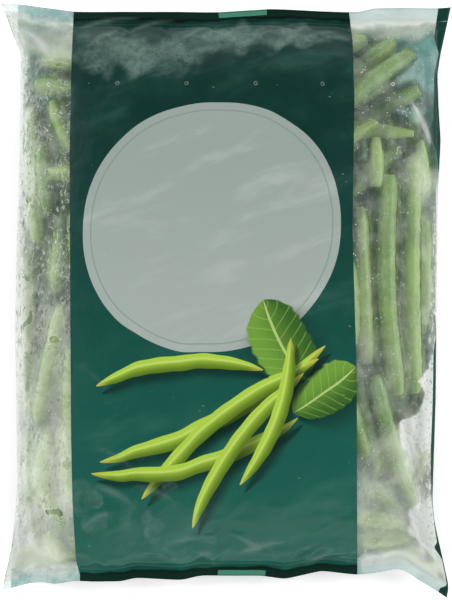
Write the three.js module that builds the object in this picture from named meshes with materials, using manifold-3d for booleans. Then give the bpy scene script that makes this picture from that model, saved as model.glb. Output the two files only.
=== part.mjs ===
// A clear pillow bag of green beans, welded at both ends and lying on its back.
// Millimetres. X runs across the bag, Y towards its top weld, Z up from the table.

import * as THREE from 'three';
import { mergeVertices } from 'three/addons/utils/BufferGeometryUtils.js';
import Module from 'manifold-3d';

const wasm = await Module();
wasm.setup();

// The bag
const FILM = 0.6;
const CROWN_HEIGHT = 45;
const FOLD_HEIGHT = 17;
const WELD_HEIGHT = 11;
const WELD_WIDTH = 6;
const UNDERSIDE_SAG = 20;
const FILLED_HALF_WIDTH = 95.6;
const FOLD_INSET = 1.2;
const ACROSS_ROUNDNESS = 2.4;
const ACROSS_ROOT = 0.5;
const ALONG_ROUNDNESS = 3;
const ALONG_ROOT = 0.53;
const BAG_COLUMNS = 18;
const BAG_ROWS = 22;

// Outline of the flat film: [y, x] down each side, then [x, y] along each end
const LEFT_SIDE = [[-131.8, -101.4], [-127.3, -100.9], [-118.2, -98.6], [-109.1, -96.8], [-95.4, -95.4],
  [-81.8, -94.5], [-45.5, -95], [-13.6, -95.4], [13.6, -95], [45.5, -94.1], [77.3, -93.2],
  [104.5, -93.2], [111.4, -92.7], [118.2, -95.9], [128.2, -99.5], [135, -102.3]];
const RIGHT_SIDE = [[-135.4, 100.4], [-130.9, 101.4], [-118.2, 98.6], [-106.8, 95.9], [-100, 94.5],
  [-90.9, 93.6], [-45.5, 95], [0, 95.4], [45.5, 95.9], [72.7, 97.3], [86.4, 96.4], [102.3, 95.9],
  [111.4, 97.3], [133.2, 102.3]];
const TOP_END = [[-102.3, 135], [-94.5, 134.5], [-69.5, 131.1], [-2.7, 130.9], [20, 132.3], [54.1, 130.9],
  [60.9, 130.9], [66.8, 132.7], [97.3, 132.7], [102.3, 133.2]];
const BOTTOM_END = [[-101.4, -131.8], [-89.1, -128.6], [-78.6, -129.3], [-47.3, -127.9], [-20, -127.3],
  [-11.8, -125.4], [16.4, -125.4], [26.8, -126.8], [43.6, -123.2], [59.5, -125], [78.2, -122],
  [88.2, -127.7], [95, -131.8], [100.4, -135.4]];

// Needle vents through the front film
const VENT_Y = 98.2;
const VENT_FIRST_X = -80.4;
const VENT_PITCH = 31.2;
const VENT_COUNT = 6;
const VENT_RADIUS = 0.7;
const VENT_REACH = 6;
const VENT_SIDES = 6;

// The beans
const BEAN_GAP = 0.9;
const ROUNDED_TIPS = 0.3;
const TIP_WIDTH = 0.45;
const CUT_WIDTH = 0.8;
const FILM_GAP = 0.5;
const CLUMP_BITE = 2;
const ROUTE_POINTS = 9;
const SINGLE_SIDES = 8;
const SINGLE_RINGS = 8;
const CLUMP_SIDES = 6;
const CLUMP_RINGS = 6;
const SEED = 99;

// Beans in the right window: diameter, depth below the film (0 touches it) and route as [x, y]
const RIGHT_WINDOW = [
  { across: 8.4, depth: 0, route: [[75, 55], [69.5, 28], [69.5, 8], [72, -12], [76, -41]] },
  { across: 8.1, depth: 0, route: [[87.5, 63], [86.5, 45], [82, 15], [83, -12], [86, -41]] },
  { across: 7.5, depth: 0, route: [[71, -34], [74, -63], [78, -80], [82, -98]] },
  { across: 8, depth: 0.1, route: [[60.5, 40], [60.5, 10], [63, -10], [64.5, -28]] },
  { across: 6.4, depth: 0.5, route: [[91.5, 36], [89.5, 10], [89, -14]] },
  { across: 6.8, depth: 0.3, route: [[89.5, -48], [90, -66], [88, -84]] },
  { across: 9.1, depth: 0, route: [[25, 66], [58, 96], [84, 119]] },
  { across: 8.2, depth: 0, route: [[14, 97], [40, 110], [67, 120]] },
  { across: 8, depth: 0.4, route: [[28, 86], [58, 107], [76, 117]] },
  { across: 8.2, depth: 0.5, route: [[36, 80], [65, 92], [83, 100]] },
  { across: 8.4, depth: 0.25, route: [[24, 74], [58, 86], [89, 94]] },
  { across: 8, depth: 0, route: [[18, 80], [58, 77], [85, 72]] },
  { across: 7.6, depth: 0.2, route: [[79, 69], [68, 58], [46, 40]] },
  { across: 7.2, depth: 0.2, route: [[61, -36], [64, -56], [69, -77]] },
  { across: 7.4, depth: 0.2, route: [[38, -58], [60, -78], [77, -101]] },
  { across: 8.2, depth: 0.1, route: [[34, -84], [56, -95], [78, -108]] },
  { across: 7.4, depth: 0.1, route: [[48, -104], [70, -108], [90, -118]] },
  { across: 7.2, depth: 0.8, route: [[86, 88], [88, 40], [84, 0]] },
  { across: 7.8, depth: 0.9, route: [[66, 52], [72, 10], [66, -38]] },
  { across: 7.6, depth: 0.9, route: [[78, -16], [80, -60], [74, -100]] },
  { across: 7.8, depth: 0.8, route: [[70, 84], [78, 50], [80, 6]] },
];

// Beans in the left window, the same way
const LEFT_WINDOW = [
  { across: 8.4, depth: 0, route: [[-83, 108], [-60, 107], [-20, 101]] },
  { across: 8.8, depth: 0, route: [[-88, 98], [-70, 95], [-36, 87]] },
  { across: 7.6, depth: 0, route: [[-81, 57], [-60, 57], [-22, 53]] },
  { across: 8.2, depth: 0.1, route: [[-77, 82], [-75, 50], [-76, 4]] },
  { across: 7, depth: 0.2, route: [[-88, 86], [-87, 60], [-88, 26]] },
  { across: 7.2, depth: 0.2, route: [[-90, 22], [-89.5, -20], [-89, -52]] },
  { across: 8, depth: 0, route: [[-75, -4], [-78, -24], [-84, -56]] },
  { across: 8.2, depth: 0, route: [[-82, -60], [-83, -80], [-80, -104]] },
  { across: 8, depth: 0, route: [[-70, -22], [-72.5, -60], [-72, -92]] },
  { across: 7.2, depth: 0.6, route: [[-88, -62], [-88, -88], [-89, -112]] },
  { across: 8, depth: 0, route: [[-86, -106], [-76, -112]] },
  { across: 7.8, depth: 0, route: [[-70, -106], [-48, -112]] },
];

// Beans behind the printed band, frozen together in clumps that stand in rows
const CLUMP_SIZE = 3;
const CLUMP_COLUMNS = [-54, -26, 2, 30];
const CLUMP_ROWS = [-76, 2, 76];
const CLUMP_LAYERS = [0.25, 0.8];
const LEFT_CLUMPS = [[-80, 50], [-80, -46]];
const LEFT_CLUMP_DEPTH = 0.85;
const CLUMP_BEAN_LENGTH = [74, 94];
const CLUMP_BEAN_ACROSS = [7.6, 9];
const CLUMP_TILT = 0.42;
const CLUMP_SPREAD = 7;
const CLUMP_SCATTER = 7;
const CLUMP_LEAN = 0.16;
const CLUMP_BOW = 10;
const CLUMP_STEP_DOWN = 0.1;

// Settling of the beans
const SETTLE_ROUNDS = 900;
const STIFFNESS = 0.35;
const HOLD_ROUTE = 0.12;
const HOLD_SHARE = 0.6;
const PUSH = 0.5;

// A repeatable stream of numbers from 0 to 1
function makeRandom(seed) {
  let state = seed;
  return () => {
    state = (state * 1664525 + 1013904223) % 4294967296;
    return state / 4294967296;
  };
}

const random = makeRandom(SEED);
const pick = ([low, high]) => low + (high - low) * random();
const clamp = THREE.MathUtils.clamp;
const lerp = THREE.MathUtils.lerp;

// Reads a list of [position, value] pairs at any position
function readAlong(pairs, position) {
  let next = 1;
  while (next < pairs.length - 1 && pairs[next][0] < position) {
    next += 1;
  }
  const [from, start] = pairs[next - 1];
  const [to, end] = pairs[next];
  return lerp(start, end, clamp((position - from) / (to - from), 0, 1));
}

// Side folds of the filled part, which stay inside the flat corners
const leftFold = (y) => Math.max(readAlong(LEFT_SIDE, y), -FILLED_HALF_WIDTH);
const rightFold = (y) => Math.min(readAlong(RIGHT_SIDE, y), FILLED_HALF_WIDTH);
const topWeld = (x) => readAlong(TOP_END, x) - WELD_WIDTH;
const bottomWeld = (x) => readAlong(BOTTOM_END, x) + WELD_WIDTH;

// How full the bag is at a place, from 0 at its folds and welds to 1 in the middle
function fullnessAcross(x, y, inset) {
  const middle = (leftFold(y) + rightFold(y)) / 2;
  const reach = (rightFold(y) - leftFold(y)) / 2 - inset;
  const away = Math.min(Math.abs(x - middle) / reach, 1);
  return (1 - away ** ACROSS_ROUNDNESS) ** ACROSS_ROOT;
}

function fullnessAlong(x, y, inset) {
  const middle = (topWeld(x) + bottomWeld(x)) / 2;
  const reach = (topWeld(x) - bottomWeld(x)) / 2 - inset;
  const away = Math.min(Math.abs(y - middle) / reach, 1);
  return (1 - away ** ALONG_ROUNDNESS) ** ALONG_ROOT;
}

// Height of the folds and welds above the table
function foldHeight(x, y) {
  return lerp(WELD_HEIGHT, FOLD_HEIGHT, fullnessAlong(x, y, 0));
}

const frontRise = CROWN_HEIGHT - FOLD_HEIGHT - FILM;

function frontInside(x, y, inset) {
  return foldHeight(x, y) + frontRise * fullnessAcross(x, y, inset) * fullnessAlong(x, y, inset);
}

function backInside(x, y, inset) {
  const sag = UNDERSIDE_SAG * fullnessAcross(x, y, inset) * fullnessAlong(x, y, inset);
  return Math.max(FILM, foldHeight(x, y) - sag);
}

// Turns a list of corner points and triangles into a solid
function makeSolid(corners, triangles) {
  const mesh = new wasm.Mesh({
    numProp: 3,
    vertProperties: new Float32Array(corners),
    triVerts: new Uint32Array(triangles),
  });
  return new wasm.Manifold(mesh);
}

// Turns a three.js shape into a solid
function solidFrom(geometry) {
  const bare = geometry.clone();
  bare.deleteAttribute('normal');
  bare.deleteAttribute('uv');
  const merged = mergeVertices(bare, 1e-4);
  const index = merged.index.array;
  const triangles = [];
  for (let i = 0; i < index.length; i += 3) {
    const [a, b, c] = [index[i], index[i + 1], index[i + 2]];
    if (a !== b && b !== c && c !== a) {
      triangles.push(a, b, c);
    }
  }
  return makeSolid(merged.attributes.position.array, triangles);
}

function geometryFrom(solid) {
  const mesh = solid.getMesh();
  const geometry = new THREE.BufferGeometry();
  geometry.setAttribute('position', new THREE.BufferAttribute(new Float32Array(mesh.vertProperties), 3));
  geometry.setIndex(new THREE.BufferAttribute(new Uint32Array(mesh.triVerts), 1));
  geometry.computeVertexNormals();
  return geometry;
}

// Even steps along an arc, which crowd towards both ends of -1 to 1
function crowdedSteps(count) {
  return Array.from({ length: count + 1 }, (_, i) => -Math.cos((Math.PI * i) / count));
}

// A cushion-like closed solid between a front and a back grid. Where the two grids meet at the rim
// they share their corners, and elsewhere a rim wall joins them.
function pillowSolid(places, front, back, sharesRim) {
  const rows = places.length - 1;
  const columns = places[0].length - 1;
  const corners = [];
  const onRim = (i, j) => i === 0 || j === 0 || i === columns || j === rows;
  const addGrid = (height, rimFrom) => places.map((row, j) => row.map(([x, y], i) => {
    if (rimFrom && sharesRim && onRim(i, j)) {
      return rimFrom[j][i];
    }
    corners.push(x, y, height(x, y));
    return corners.length / 3 - 1;
  }));
  const top = addGrid(front, null);
  const bottom = addGrid(back, top);
  const triangles = [];
  const addCell = (grid, i, j, flip) => {
    const [a, b, c, d] = [grid[j][i], grid[j][i + 1], grid[j + 1][i + 1], grid[j + 1][i]];
    const leans = (i < columns / 2) === (j < rows / 2);
    const faces = leans ? [[a, b, c], [a, c, d]] : [[a, b, d], [b, c, d]];
    faces.forEach(([p, q, r]) => triangles.push(p, flip ? r : q, flip ? q : r));
  };
  for (let j = 0; j < rows; j += 1) {
    for (let i = 0; i < columns; i += 1) {
      addCell(top, i, j, false);
      addCell(bottom, i, j, true);
    }
  }
  if (!sharesRim) {
    const wall = (a, b) => {
      const [ta, tb, ba, bb] = [top[a[1]][a[0]], top[b[1]][b[0]], bottom[a[1]][a[0]], bottom[b[1]][b[0]]];
      triangles.push(ta, ba, bb, ta, bb, tb);
    };
    for (let i = 0; i < columns; i += 1) {
      wall([i, 0], [i + 1, 0]);
      wall([i + 1, rows], [i, rows]);
    }
    for (let j = 0; j < rows; j += 1) {
      wall([0, j + 1], [0, j]);
      wall([columns, j], [columns, j + 1]);
    }
  }
  return makeSolid(corners, triangles);
}

// Outer skin of the bag, welded strips and flat corners included
function bagOutside() {
  const across = crowdedSteps(BAG_COLUMNS);
  const filledRows = crowdedSteps(BAG_ROWS).map((v) => ({ v, past: 0 }));
  const rows = [{ v: -1, past: -WELD_WIDTH }, ...filledRows, { v: 1, past: WELD_WIDTH }];
  const places = rows.map(({ v, past }) => across.map((u) => {
    const endX = lerp(LEFT_SIDE[0][1], RIGHT_SIDE[0][1], (u + 1) / 2);
    const y = lerp(bottomWeld(endX), topWeld(endX), (v + 1) / 2) + past;
    return [lerp(readAlong(LEFT_SIDE, y), readAlong(RIGHT_SIDE, y), (u + 1) / 2), y];
  }));
  const front = (x, y) => frontInside(x, y, 0) + FILM;
  const back = (x, y) => backInside(x, y, 0) - FILM;
  return pillowSolid(places, front, back, false);
}

// Space inside the bag
function bagInside() {
  const across = crowdedSteps(BAG_COLUMNS);
  const places = crowdedSteps(BAG_ROWS).map((v) => across.map((u) => {
    const endX = u * FILLED_HALF_WIDTH;
    const y = lerp(bottomWeld(endX) + FOLD_INSET, topWeld(endX) - FOLD_INSET, (v + 1) / 2);
    return [lerp(leftFold(y) + FOLD_INSET, rightFold(y) - FOLD_INSET, (u + 1) / 2), y];
  }));
  const front = (x, y) => frontInside(x, y, FOLD_INSET);
  const back = (x, y) => backInside(x, y, FOLD_INSET);
  return pillowSolid(places, front, back, true);
}

function ventHole(x) {
  const pin = new THREE.CylinderGeometry(VENT_RADIUS, VENT_RADIUS, VENT_REACH, VENT_SIDES);
  pin.rotateX(Math.PI / 2);
  pin.translate(x, VENT_Y, frontInside(x, VENT_Y, 0));
  return solidFrom(pin);
}

function bagFilm() {
  let film = bagOutside().subtract(bagInside());
  for (let i = 0; i < VENT_COUNT; i += 1) {
    film = film.subtract(ventHole(VENT_FIRST_X + i * VENT_PITCH));
  }
  return geometryFrom(film);
}

// A bean as a chain of points that can bend, with the lie that it starts from
function makeBean(across, route, heightAt, clump) {
  const path = new THREE.CatmullRomCurve3(route.map(([x, y]) => new THREE.Vector3(x, y, 0)));
  const points = path.getSpacedPoints(ROUTE_POINTS - 1);
  points.forEach((point) => {
    point.z = heightAt(point.x, point.y);
  });
  return {
    radius: across / 2,
    points,
    held: clump < 0 ? points.map((point) => point.clone()) : null,
    link: path.getLength() / (ROUTE_POINTS - 1),
    clump,
  };
}

function depthBelowFront(radius, depth) {
  return (x, y) => {
    const high = frontInside(x, y, FOLD_INSET) - radius - FILM_GAP;
    const low = backInside(x, y, FOLD_INSET) + radius + FILM_GAP;
    return lerp(high, Math.min(low, high), depth);
  };
}

function clumpBeans(x, y, depth, clump) {
  const tilt = (random() - 0.5) * 2 * CLUMP_TILT;
  const beans = [];
  for (let i = 0; i < CLUMP_SIZE; i += 1) {
    const across = pick(CLUMP_BEAN_ACROSS);
    const half = pick(CLUMP_BEAN_LENGTH) / 2;
    const lean = tilt + (random() - 0.5) * CLUMP_LEAN;
    const aside = (i - 1) * CLUMP_SPREAD;
    const bow = (random() - 0.5) * CLUMP_BOW;
    const along = (t) => {
      const sideways = aside + Math.sin(lean) * half * t + bow * (1 - t * t);
      return [x + sideways, y + Math.cos(lean) * half * t];
    };
    const height = depthBelowFront(across / 2, clamp(depth + (i - 1) * CLUMP_STEP_DOWN, 0, 1));
    beans.push(makeBean(across, [along(-1), along(0), along(1)], height, clump));
  }
  return beans;
}

// Nearest points of two straight links, as shares along each
function nearestShares(a, b, c, d, out) {
  const ux = b.x - a.x, uy = b.y - a.y, uz = b.z - a.z;
  const vx = d.x - c.x, vy = d.y - c.y, vz = d.z - c.z;
  const wx = a.x - c.x, wy = a.y - c.y, wz = a.z - c.z;
  const uu = ux * ux + uy * uy + uz * uz;
  const uv = ux * vx + uy * vy + uz * vz;
  const vv = vx * vx + vy * vy + vz * vz;
  const uw = ux * wx + uy * wy + uz * wz;
  const vw = vx * wx + vy * wy + vz * wz;
  const slack = uu * vv - uv * uv;
  let s = slack > 1e-9 ? clamp((uv * vw - vv * uw) / slack, 0, 1) : 0.5;
  const t = clamp((uv * s + vw) / vv, 0, 1);
  s = clamp((uv * t - uw) / uu, 0, 1);
  out.s = s;
  out.t = t;
  out.x = wx + ux * s - vx * t;
  out.y = wy + uy * s - vy * t;
  out.z = wz + uz * s - vz * t;
  out.distance = Math.hypot(out.x, out.y, out.z);
}

// Moves two links along the line between their nearest points
function shiftLinks(one, i, two, j, near, amount) {
  const scale = amount / Math.max(near.distance, 1e-6);
  const move = (point, share) => {
    point.x += near.x * scale * share;
    point.y += near.y * scale * share;
    point.z += near.z * scale * share;
  };
  move(one.points[i], 1 - near.s);
  move(one.points[i + 1], near.s);
  move(two.points[j], near.t - 1);
  move(two.points[j + 1], -near.t);
}

// Keeps two beans apart, or lets two of one clump bite into each other where they come nearest
function settlePair(one, two) {
  const together = one.clump >= 0 && one.clump === two.clump;
  const bite = together ? -CLUMP_BITE : BEAN_GAP;
  const wanted = one.radius + two.radius + bite;
  const near = {};
  const closest = { distance: Infinity };
  for (let i = 0; i < ROUTE_POINTS - 1; i += 1) {
    for (let j = 0; j < ROUTE_POINTS - 1; j += 1) {
      nearestShares(one.points[i], one.points[i + 1], two.points[j], two.points[j + 1], near);
      if (near.distance < wanted) {
        shiftLinks(one, i, two, j, near, (wanted - near.distance) * PUSH);
      }
      if (near.distance < closest.distance) {
        Object.assign(closest, near, { i, j });
      }
    }
  }
  const chained = together && Math.abs(one.order - two.order) === 1;
  if (chained && closest.distance > wanted) {
    shiftLinks(one, closest.i, two, closest.j, closest, (wanted - closest.distance) * PUSH);
  }
}

// Pushes a point of a bean back inside the bag. The gap to the film is taken to the plane through
// the three points where lines along X, Y and Z meet it.
function keepInside(point, radius) {
  const room = radius + FILM_GAP;
  const left = leftFold(point.y) + FOLD_INSET + room;
  const right = rightFold(point.y) - FOLD_INSET - room;
  point.x = clamp(point.x, left, right);
  const low = bottomWeld(point.x) + FOLD_INSET + room;
  const high = topWeld(point.x) - FOLD_INSET - room;
  point.y = clamp(point.y, low, high);
  const middle = (leftFold(point.y) + rightFold(point.y)) / 2;
  const reach = (rightFold(point.y) - leftFold(point.y)) / 2 - FOLD_INSET;
  const across = fullnessAcross(point.x, point.y, FOLD_INSET);
  const along = fullnessAlong(point.x, point.y, FOLD_INSET);
  const fold = foldHeight(point.x, point.y);
  const yMiddle = (topWeld(point.x) + bottomWeld(point.x)) / 2;
  const yReach = (topWeld(point.x) - bottomWeld(point.x)) / 2 - FOLD_INSET;
  const tests = [
    { way: 1, rise: frontRise, gap: fold + frontRise * across * along - point.z },
    { way: -1, rise: UNDERSIDE_SAG, gap: point.z - (fold - UNDERSIDE_SAG * across * along) },
  ];
  tests.forEach(({ way, rise, gap }) => {
    const level = Math.max((point.z - fold) * way, 0.01) / rise;
    const edgeX = reach * (1 - Math.min(level / along, 1) ** (1 / ACROSS_ROOT)) ** (1 / ACROSS_ROUNDNESS);
    const edgeY = yReach * (1 - Math.min(level / across, 1) ** (1 / ALONG_ROOT)) ** (1 / ALONG_ROUNDNESS);
    const gapX = edgeX - Math.abs(point.x - middle);
    const gapY = edgeY - Math.abs(point.y - yMiddle);
    const slopeX = 1 / Math.max(gapX, 0.5);
    const slopeY = 1 / Math.max(gapY, 0.5);
    const slopeZ = 1 / Math.max(gap, 0.5);
    const steep = Math.hypot(slopeX, slopeY, slopeZ);
    const short = room - 1 / steep;
    if (short > 0) {
      point.x -= (Math.sign(point.x - middle) * short * slopeX) / steep;
      point.y -= (Math.sign(point.y - yMiddle) * short * slopeY) / steep;
      point.z -= (way * short * slopeZ) / steep;
    }
  });
  point.z = Math.max(point.z, FILM + room);
}

// Keeps a bean's length and lets it bend only gently
function settleShape(bean) {
  const points = bean.points;
  for (let i = 1; i < points.length - 1; i += 1) {
    ['x', 'y', 'z'].forEach((axis) => {
      const off = (points[i - 1][axis] + points[i + 1][axis]) / 2 - points[i][axis];
      points[i][axis] += off * STIFFNESS * 0.5;
      points[i - 1][axis] -= off * STIFFNESS * 0.25;
      points[i + 1][axis] -= off * STIFFNESS * 0.25;
    });
  }
  for (let i = 1; i < points.length; i += 1) {
    const [a, b] = [points[i - 1], points[i]];
    const length = a.distanceTo(b);
    const share = (length - bean.link) / length / 2;
    const step = b.clone().sub(a).multiplyScalar(share);
    a.add(step);
    b.sub(step);
  }
}

function reachBox(bean) {
  return new THREE.Box3().setFromPoints(bean.points).expandByScalar(bean.radius + 1);
}

function settle(beans) {
  for (let round = 0; round < SETTLE_ROUNDS; round += 1) {
    const holding = round < SETTLE_ROUNDS * HOLD_SHARE ? HOLD_ROUTE : 0;
    beans.forEach((bean) => {
      settleShape(bean);
      if (bean.held) {
        bean.points.forEach((point, i) => {
          point.x += (bean.held[i].x - point.x) * holding;
          point.y += (bean.held[i].y - point.y) * holding;
          point.z += (bean.held[i].z - point.z) * holding * 0.5;
        });
      }
    });
    const boxes = beans.map(reachBox);
    for (let a = 0; a < beans.length; a += 1) {
      for (let b = a + 1; b < beans.length; b += 1) {
        const together = beans[a].clump >= 0 && beans[a].clump === beans[b].clump;
        if (together || boxes[a].intersectsBox(boxes[b])) {
          settlePair(beans[a], beans[b]);
        }
      }
    }
    beans.forEach((bean) => bean.points.forEach((point) => keepInside(point, bean.radius)));
  }
}

// A bean's round body: cut square at the stem end and drawn in at the tip
function beanProfile(radius, length, rings) {
  const tip = random() < ROUNDED_TIPS ? TIP_WIDTH : CUT_WIDTH;
  const [stem, neck] = [0.03, 0.94];
  const shape = [[0, 0], [CUT_WIDTH, 0]];
  for (let i = 0; i <= rings - 3; i += 1) {
    shape.push([1, lerp(stem, neck, i / (rings - 3))]);
  }
  shape.push([tip, 1], [0, 1]);
  return shape.map(([wide, along]) => new THREE.Vector2(wide * radius, along * length));
}

// Bends the straight body along the bean's settled route
function beanSolid(bean, sides, rings) {
  const path = new THREE.CatmullRomCurve3(bean.points);
  const length = path.getLength();
  const body = new THREE.LatheGeometry(beanProfile(bean.radius, length, rings), sides);
  const position = body.attributes.position;
  const vertical = new THREE.Vector3(0, 0, 1);
  const side = new THREE.Vector3();
  const up = new THREE.Vector3();
  for (let i = 0; i < position.count; i += 1) {
    const along = clamp(position.getY(i) / length, 0, 1);
    const place = path.getPointAt(along);
    const way = path.getTangentAt(along);
    side.crossVectors(vertical, way).normalize();
    up.crossVectors(side, way);
    place.addScaledVector(side, position.getX(i)).addScaledVector(up, position.getZ(i));
    position.setXYZ(i, place.x, place.y, place.z);
  }
  return solidFrom(body);
}

// Where each clump starts, with some scatter
function clumpPlaces() {
  const places = LEFT_CLUMPS.map(([x, y]) => [x, y, LEFT_CLUMP_DEPTH]);
  CLUMP_LAYERS.forEach((depth) => CLUMP_ROWS.forEach((y) => CLUMP_COLUMNS.forEach((x) => {
    places.push([x + (random() - 0.5) * CLUMP_SCATTER, y + (random() - 0.5) * CLUMP_SCATTER, depth]);
  })));
  return places;
}

function makeBeans() {
  const beans = [];
  [...RIGHT_WINDOW, ...LEFT_WINDOW].forEach(({ across, depth, route }) => {
    beans.push(makeBean(across, route, depthBelowFront(across / 2, depth), -1));
  });
  clumpPlaces().forEach(([x, y, depth], clump) => {
    beans.push(...clumpBeans(x, y, depth, clump));
  });
  beans.forEach((bean, order) => {
    bean.order = order;
  });
  settle(beans);
  return beans;
}

// Finishes
const clearFilm = new THREE.MeshStandardMaterial({ color: 0xdfe8e4, roughness: 0.25, metalness: 0 });
const beanGreens = [0x6f9a4a, 0x7fa35c, 0x8aa87a];
const beanSkins = beanGreens.map((color) => (
  new THREE.MeshStandardMaterial({ color, roughness: 0.55, metalness: 0 })
));

function addMesh(group, name, geometry, material) {
  const mesh = new THREE.Mesh(geometry, material);
  mesh.name = name;
  group.add(mesh);
}

const bag = new THREE.Group();
addMesh(bag, 'bag_film', bagFilm(), clearFilm);
const settled = makeBeans();
const twoDigits = (number) => String(number).padStart(2, '0');
settled.filter((bean) => bean.clump < 0).forEach((bean, i) => {
  const body = geometryFrom(beanSolid(bean, SINGLE_SIDES, SINGLE_RINGS));
  addMesh(bag, `bean_${twoDigits(i + 1)}`, body, beanSkins[i % beanSkins.length]);
});
const clumpCount = LEFT_CLUMPS.length + CLUMP_LAYERS.length * CLUMP_ROWS.length * CLUMP_COLUMNS.length;
for (let clump = 0; clump < clumpCount; clump += 1) {
  const members = settled.filter((bean) => bean.clump === clump);
  const body = members.map((bean) => beanSolid(bean, CLUMP_SIDES, CLUMP_RINGS)).reduce((a, b) => a.add(b));
  addMesh(bag, `bean_clump_${twoDigits(clump + 1)}`, geometryFrom(body), beanSkins[clump % beanSkins.length]);
}

export default bag;
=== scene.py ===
# A clear film pillow bag of green beans, lying on its back and seen from straight above.

import math

import bmesh
import bpy
import numpy as np
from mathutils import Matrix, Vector
from mathutils.bvhtree import BVHTree


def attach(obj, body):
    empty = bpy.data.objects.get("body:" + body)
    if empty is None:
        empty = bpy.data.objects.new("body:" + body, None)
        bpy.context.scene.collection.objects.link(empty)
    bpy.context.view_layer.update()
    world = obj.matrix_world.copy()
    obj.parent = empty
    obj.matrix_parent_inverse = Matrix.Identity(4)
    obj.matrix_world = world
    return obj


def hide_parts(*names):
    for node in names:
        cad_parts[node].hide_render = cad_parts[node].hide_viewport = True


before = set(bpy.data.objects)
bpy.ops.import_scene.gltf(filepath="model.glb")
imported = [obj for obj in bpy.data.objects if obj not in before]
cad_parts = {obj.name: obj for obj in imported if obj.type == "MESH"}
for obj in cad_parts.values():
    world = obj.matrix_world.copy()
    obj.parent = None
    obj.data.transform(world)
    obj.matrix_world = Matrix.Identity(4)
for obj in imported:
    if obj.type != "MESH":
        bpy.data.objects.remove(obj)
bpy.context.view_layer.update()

MM = 0.001

# Shape of the bag, in millimetres
CROWN_HEIGHT = 44.8
FOLD_HEIGHT = 17
WELD_HEIGHT = 11
WELD_WIDTH = 6
UNDERSIDE_SAG = 20
FILLED_HALF_WIDTH = 95.6
ACROSS_ROUNDNESS = 2.4
ACROSS_ROOT = 0.5
ALONG_ROUNDNESS = 3
ALONG_ROOT = 0.53
HALF_LENGTH = 122
FLAT_WIDTH = 205
SHEET_WIDTH = 2 * FLAT_WIDTH

# The bag's outline from above: the sides as (y, x) and the ends as (x, y)
LEFT_SIDE = [
    (-131.8, -101.4), (-127.3, -100.9), (-118.2, -98.6), (-109.1, -96.8), (-95.4, -95.4), (-81.8, -94.5),
    (-45.5, -95), (-13.6, -95.4), (13.6, -95), (45.5, -94.1), (77.3, -93.2), (104.5, -93.2),
    (111.4, -92.7), (118.2, -95.9), (128.2, -99.5), (135, -102.3),
]
RIGHT_SIDE = [
    (-135.4, 100.4), (-130.9, 101.4), (-118.2, 98.6), (-106.8, 95.9), (-100, 94.5), (-90.9, 93.6),
    (-45.5, 95), (0, 95.4), (45.5, 95.9), (72.7, 97.3), (86.4, 96.4), (102.3, 95.9), (111.4, 97.3),
    (133.2, 102.3),
]
TOP_END = [
    (-102.3, 135), (-94.5, 134.5), (-69.5, 131.1), (-2.7, 130.9), (20, 132.3), (54.1, 130.9),
    (60.9, 130.9), (66.8, 132.7), (97.3, 132.7), (102.3, 133.2),
]
BOTTOM_END = [
    (-101.4, -131.8), (-97.3, -130.9), (-89.1, -128.6), (-82.7, -128.2), (-78.6, -129.3), (-68.6, -127.7),
    (-60.4, -128.2), (-47.3, -127.9), (-41.4, -126.3), (-20, -127.3), (-11.8, -125.4), (16.4, -125.4),
    (26.8, -126.8), (43.6, -123.2), (59.5, -125), (67.7, -124.1), (78.2, -122), (81.8, -123.2),
    (88.2, -127.7), (95, -131.8), (100.4, -135.4),
]
OUTLINE_SOFTNESS = 1.6

# Film mesh, and its distances in millimetres. Below the resting height the film lies on the table.
FRONT_COLUMNS = 220
BACK_COLUMNS = 110
FILLED_ROWS = 236
WELD_ROWS = 6
FILM_HALF_GAP = 0.15
FILM_CLEARANCE = 0.4
RESTING_HEIGHT = 0.6
WELD_WAVE = 0.7

# How far the film sinks between the beans, in millimetres, and the rounds that spread it
LONGEST_LOOK = 14
OUTSIDE_LOOK = 1.5
WINDOW_SAG = 5.5
BAND_SAG = 0.9
SIDE_SAG = 2.5
SAG_SHARE = 0.4
CLING = 0.035
CLING_ROUNDS = 500
GLOW_ROUNDS = 10
MOST_GAP = 8

# Values painted on the film for its material to read: the gap down to a bean, frost, haze, scuffs and
# painted sheen, fold lines (whitened film with a painted highlight), how far inside the front band and the
# back print (wrap), the distance from the nearer weld's edge, the green glow of near beans painted into the
# haze, whose low end paints shade into the deep gaps (below zero where the pale lining shows instead),
# crumpling, and wet patches where a bean is pressed to the film
FILM_MARKS = (
    "gap", "frost", "haze", "scuff_and_sheen", "fold", "band", "wrap", "edge", "glow", "crumple", "pressed",
)

# Camera
LENS = 200
SENSOR = 36
FRAMED_SIDE = 272.7
FRAMED_HEIGHT = 12
CAMERA_DISTANCE = FRAMED_SIDE * LENS / SENSOR

# Print: edges of the front band, the back print's strip past the right fold, and its left edge,
# each as (y, x or width)
BAND_LEFT = [
    (-125, -66.4), (-118, -68.2), (-104, -69.1), (-91, -69.8), (-64, -70.4), (0, -70.8), (68, -71.1),
    (109, -70.2), (131, -69.2),
]
BAND_RIGHT = [(-125, 59.7), (-32, 59.4), (0, 58.4), (32, 57.5), (91, 58.4), (118, 57.5), (131, 55.9)]
WRAP_WIDTH = [
    (-135, 3.8), (-130.8, 3.6), (-130, 0.7), (-118, 0.5), (-115.5, 1.6), (-112.5, 3.2), (-110, 0.9),
    (-100, 0.2), (-91, 0.3), (-75, 1.3), (-66, 1.5), (-25, 1.2), (-6, -1), (50, -1.4), (61, 0.5),
    (68, 1.8), (73, 4), (77.5, 5), (82, 2.7), (93, 1.8), (104, 1.4), (112, 0.8), (119, 4.5), (132, 5.7),
]
BACK_PRINT_LEFT = [(-130, -97.7), (130, -94.5)]
# The back of the film counts as lying this far outside the front band
BAND_ON_BACK = -60.0
CLEAR_GLOSS = 0.25
PRINT_GLOSS = 0.13
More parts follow.
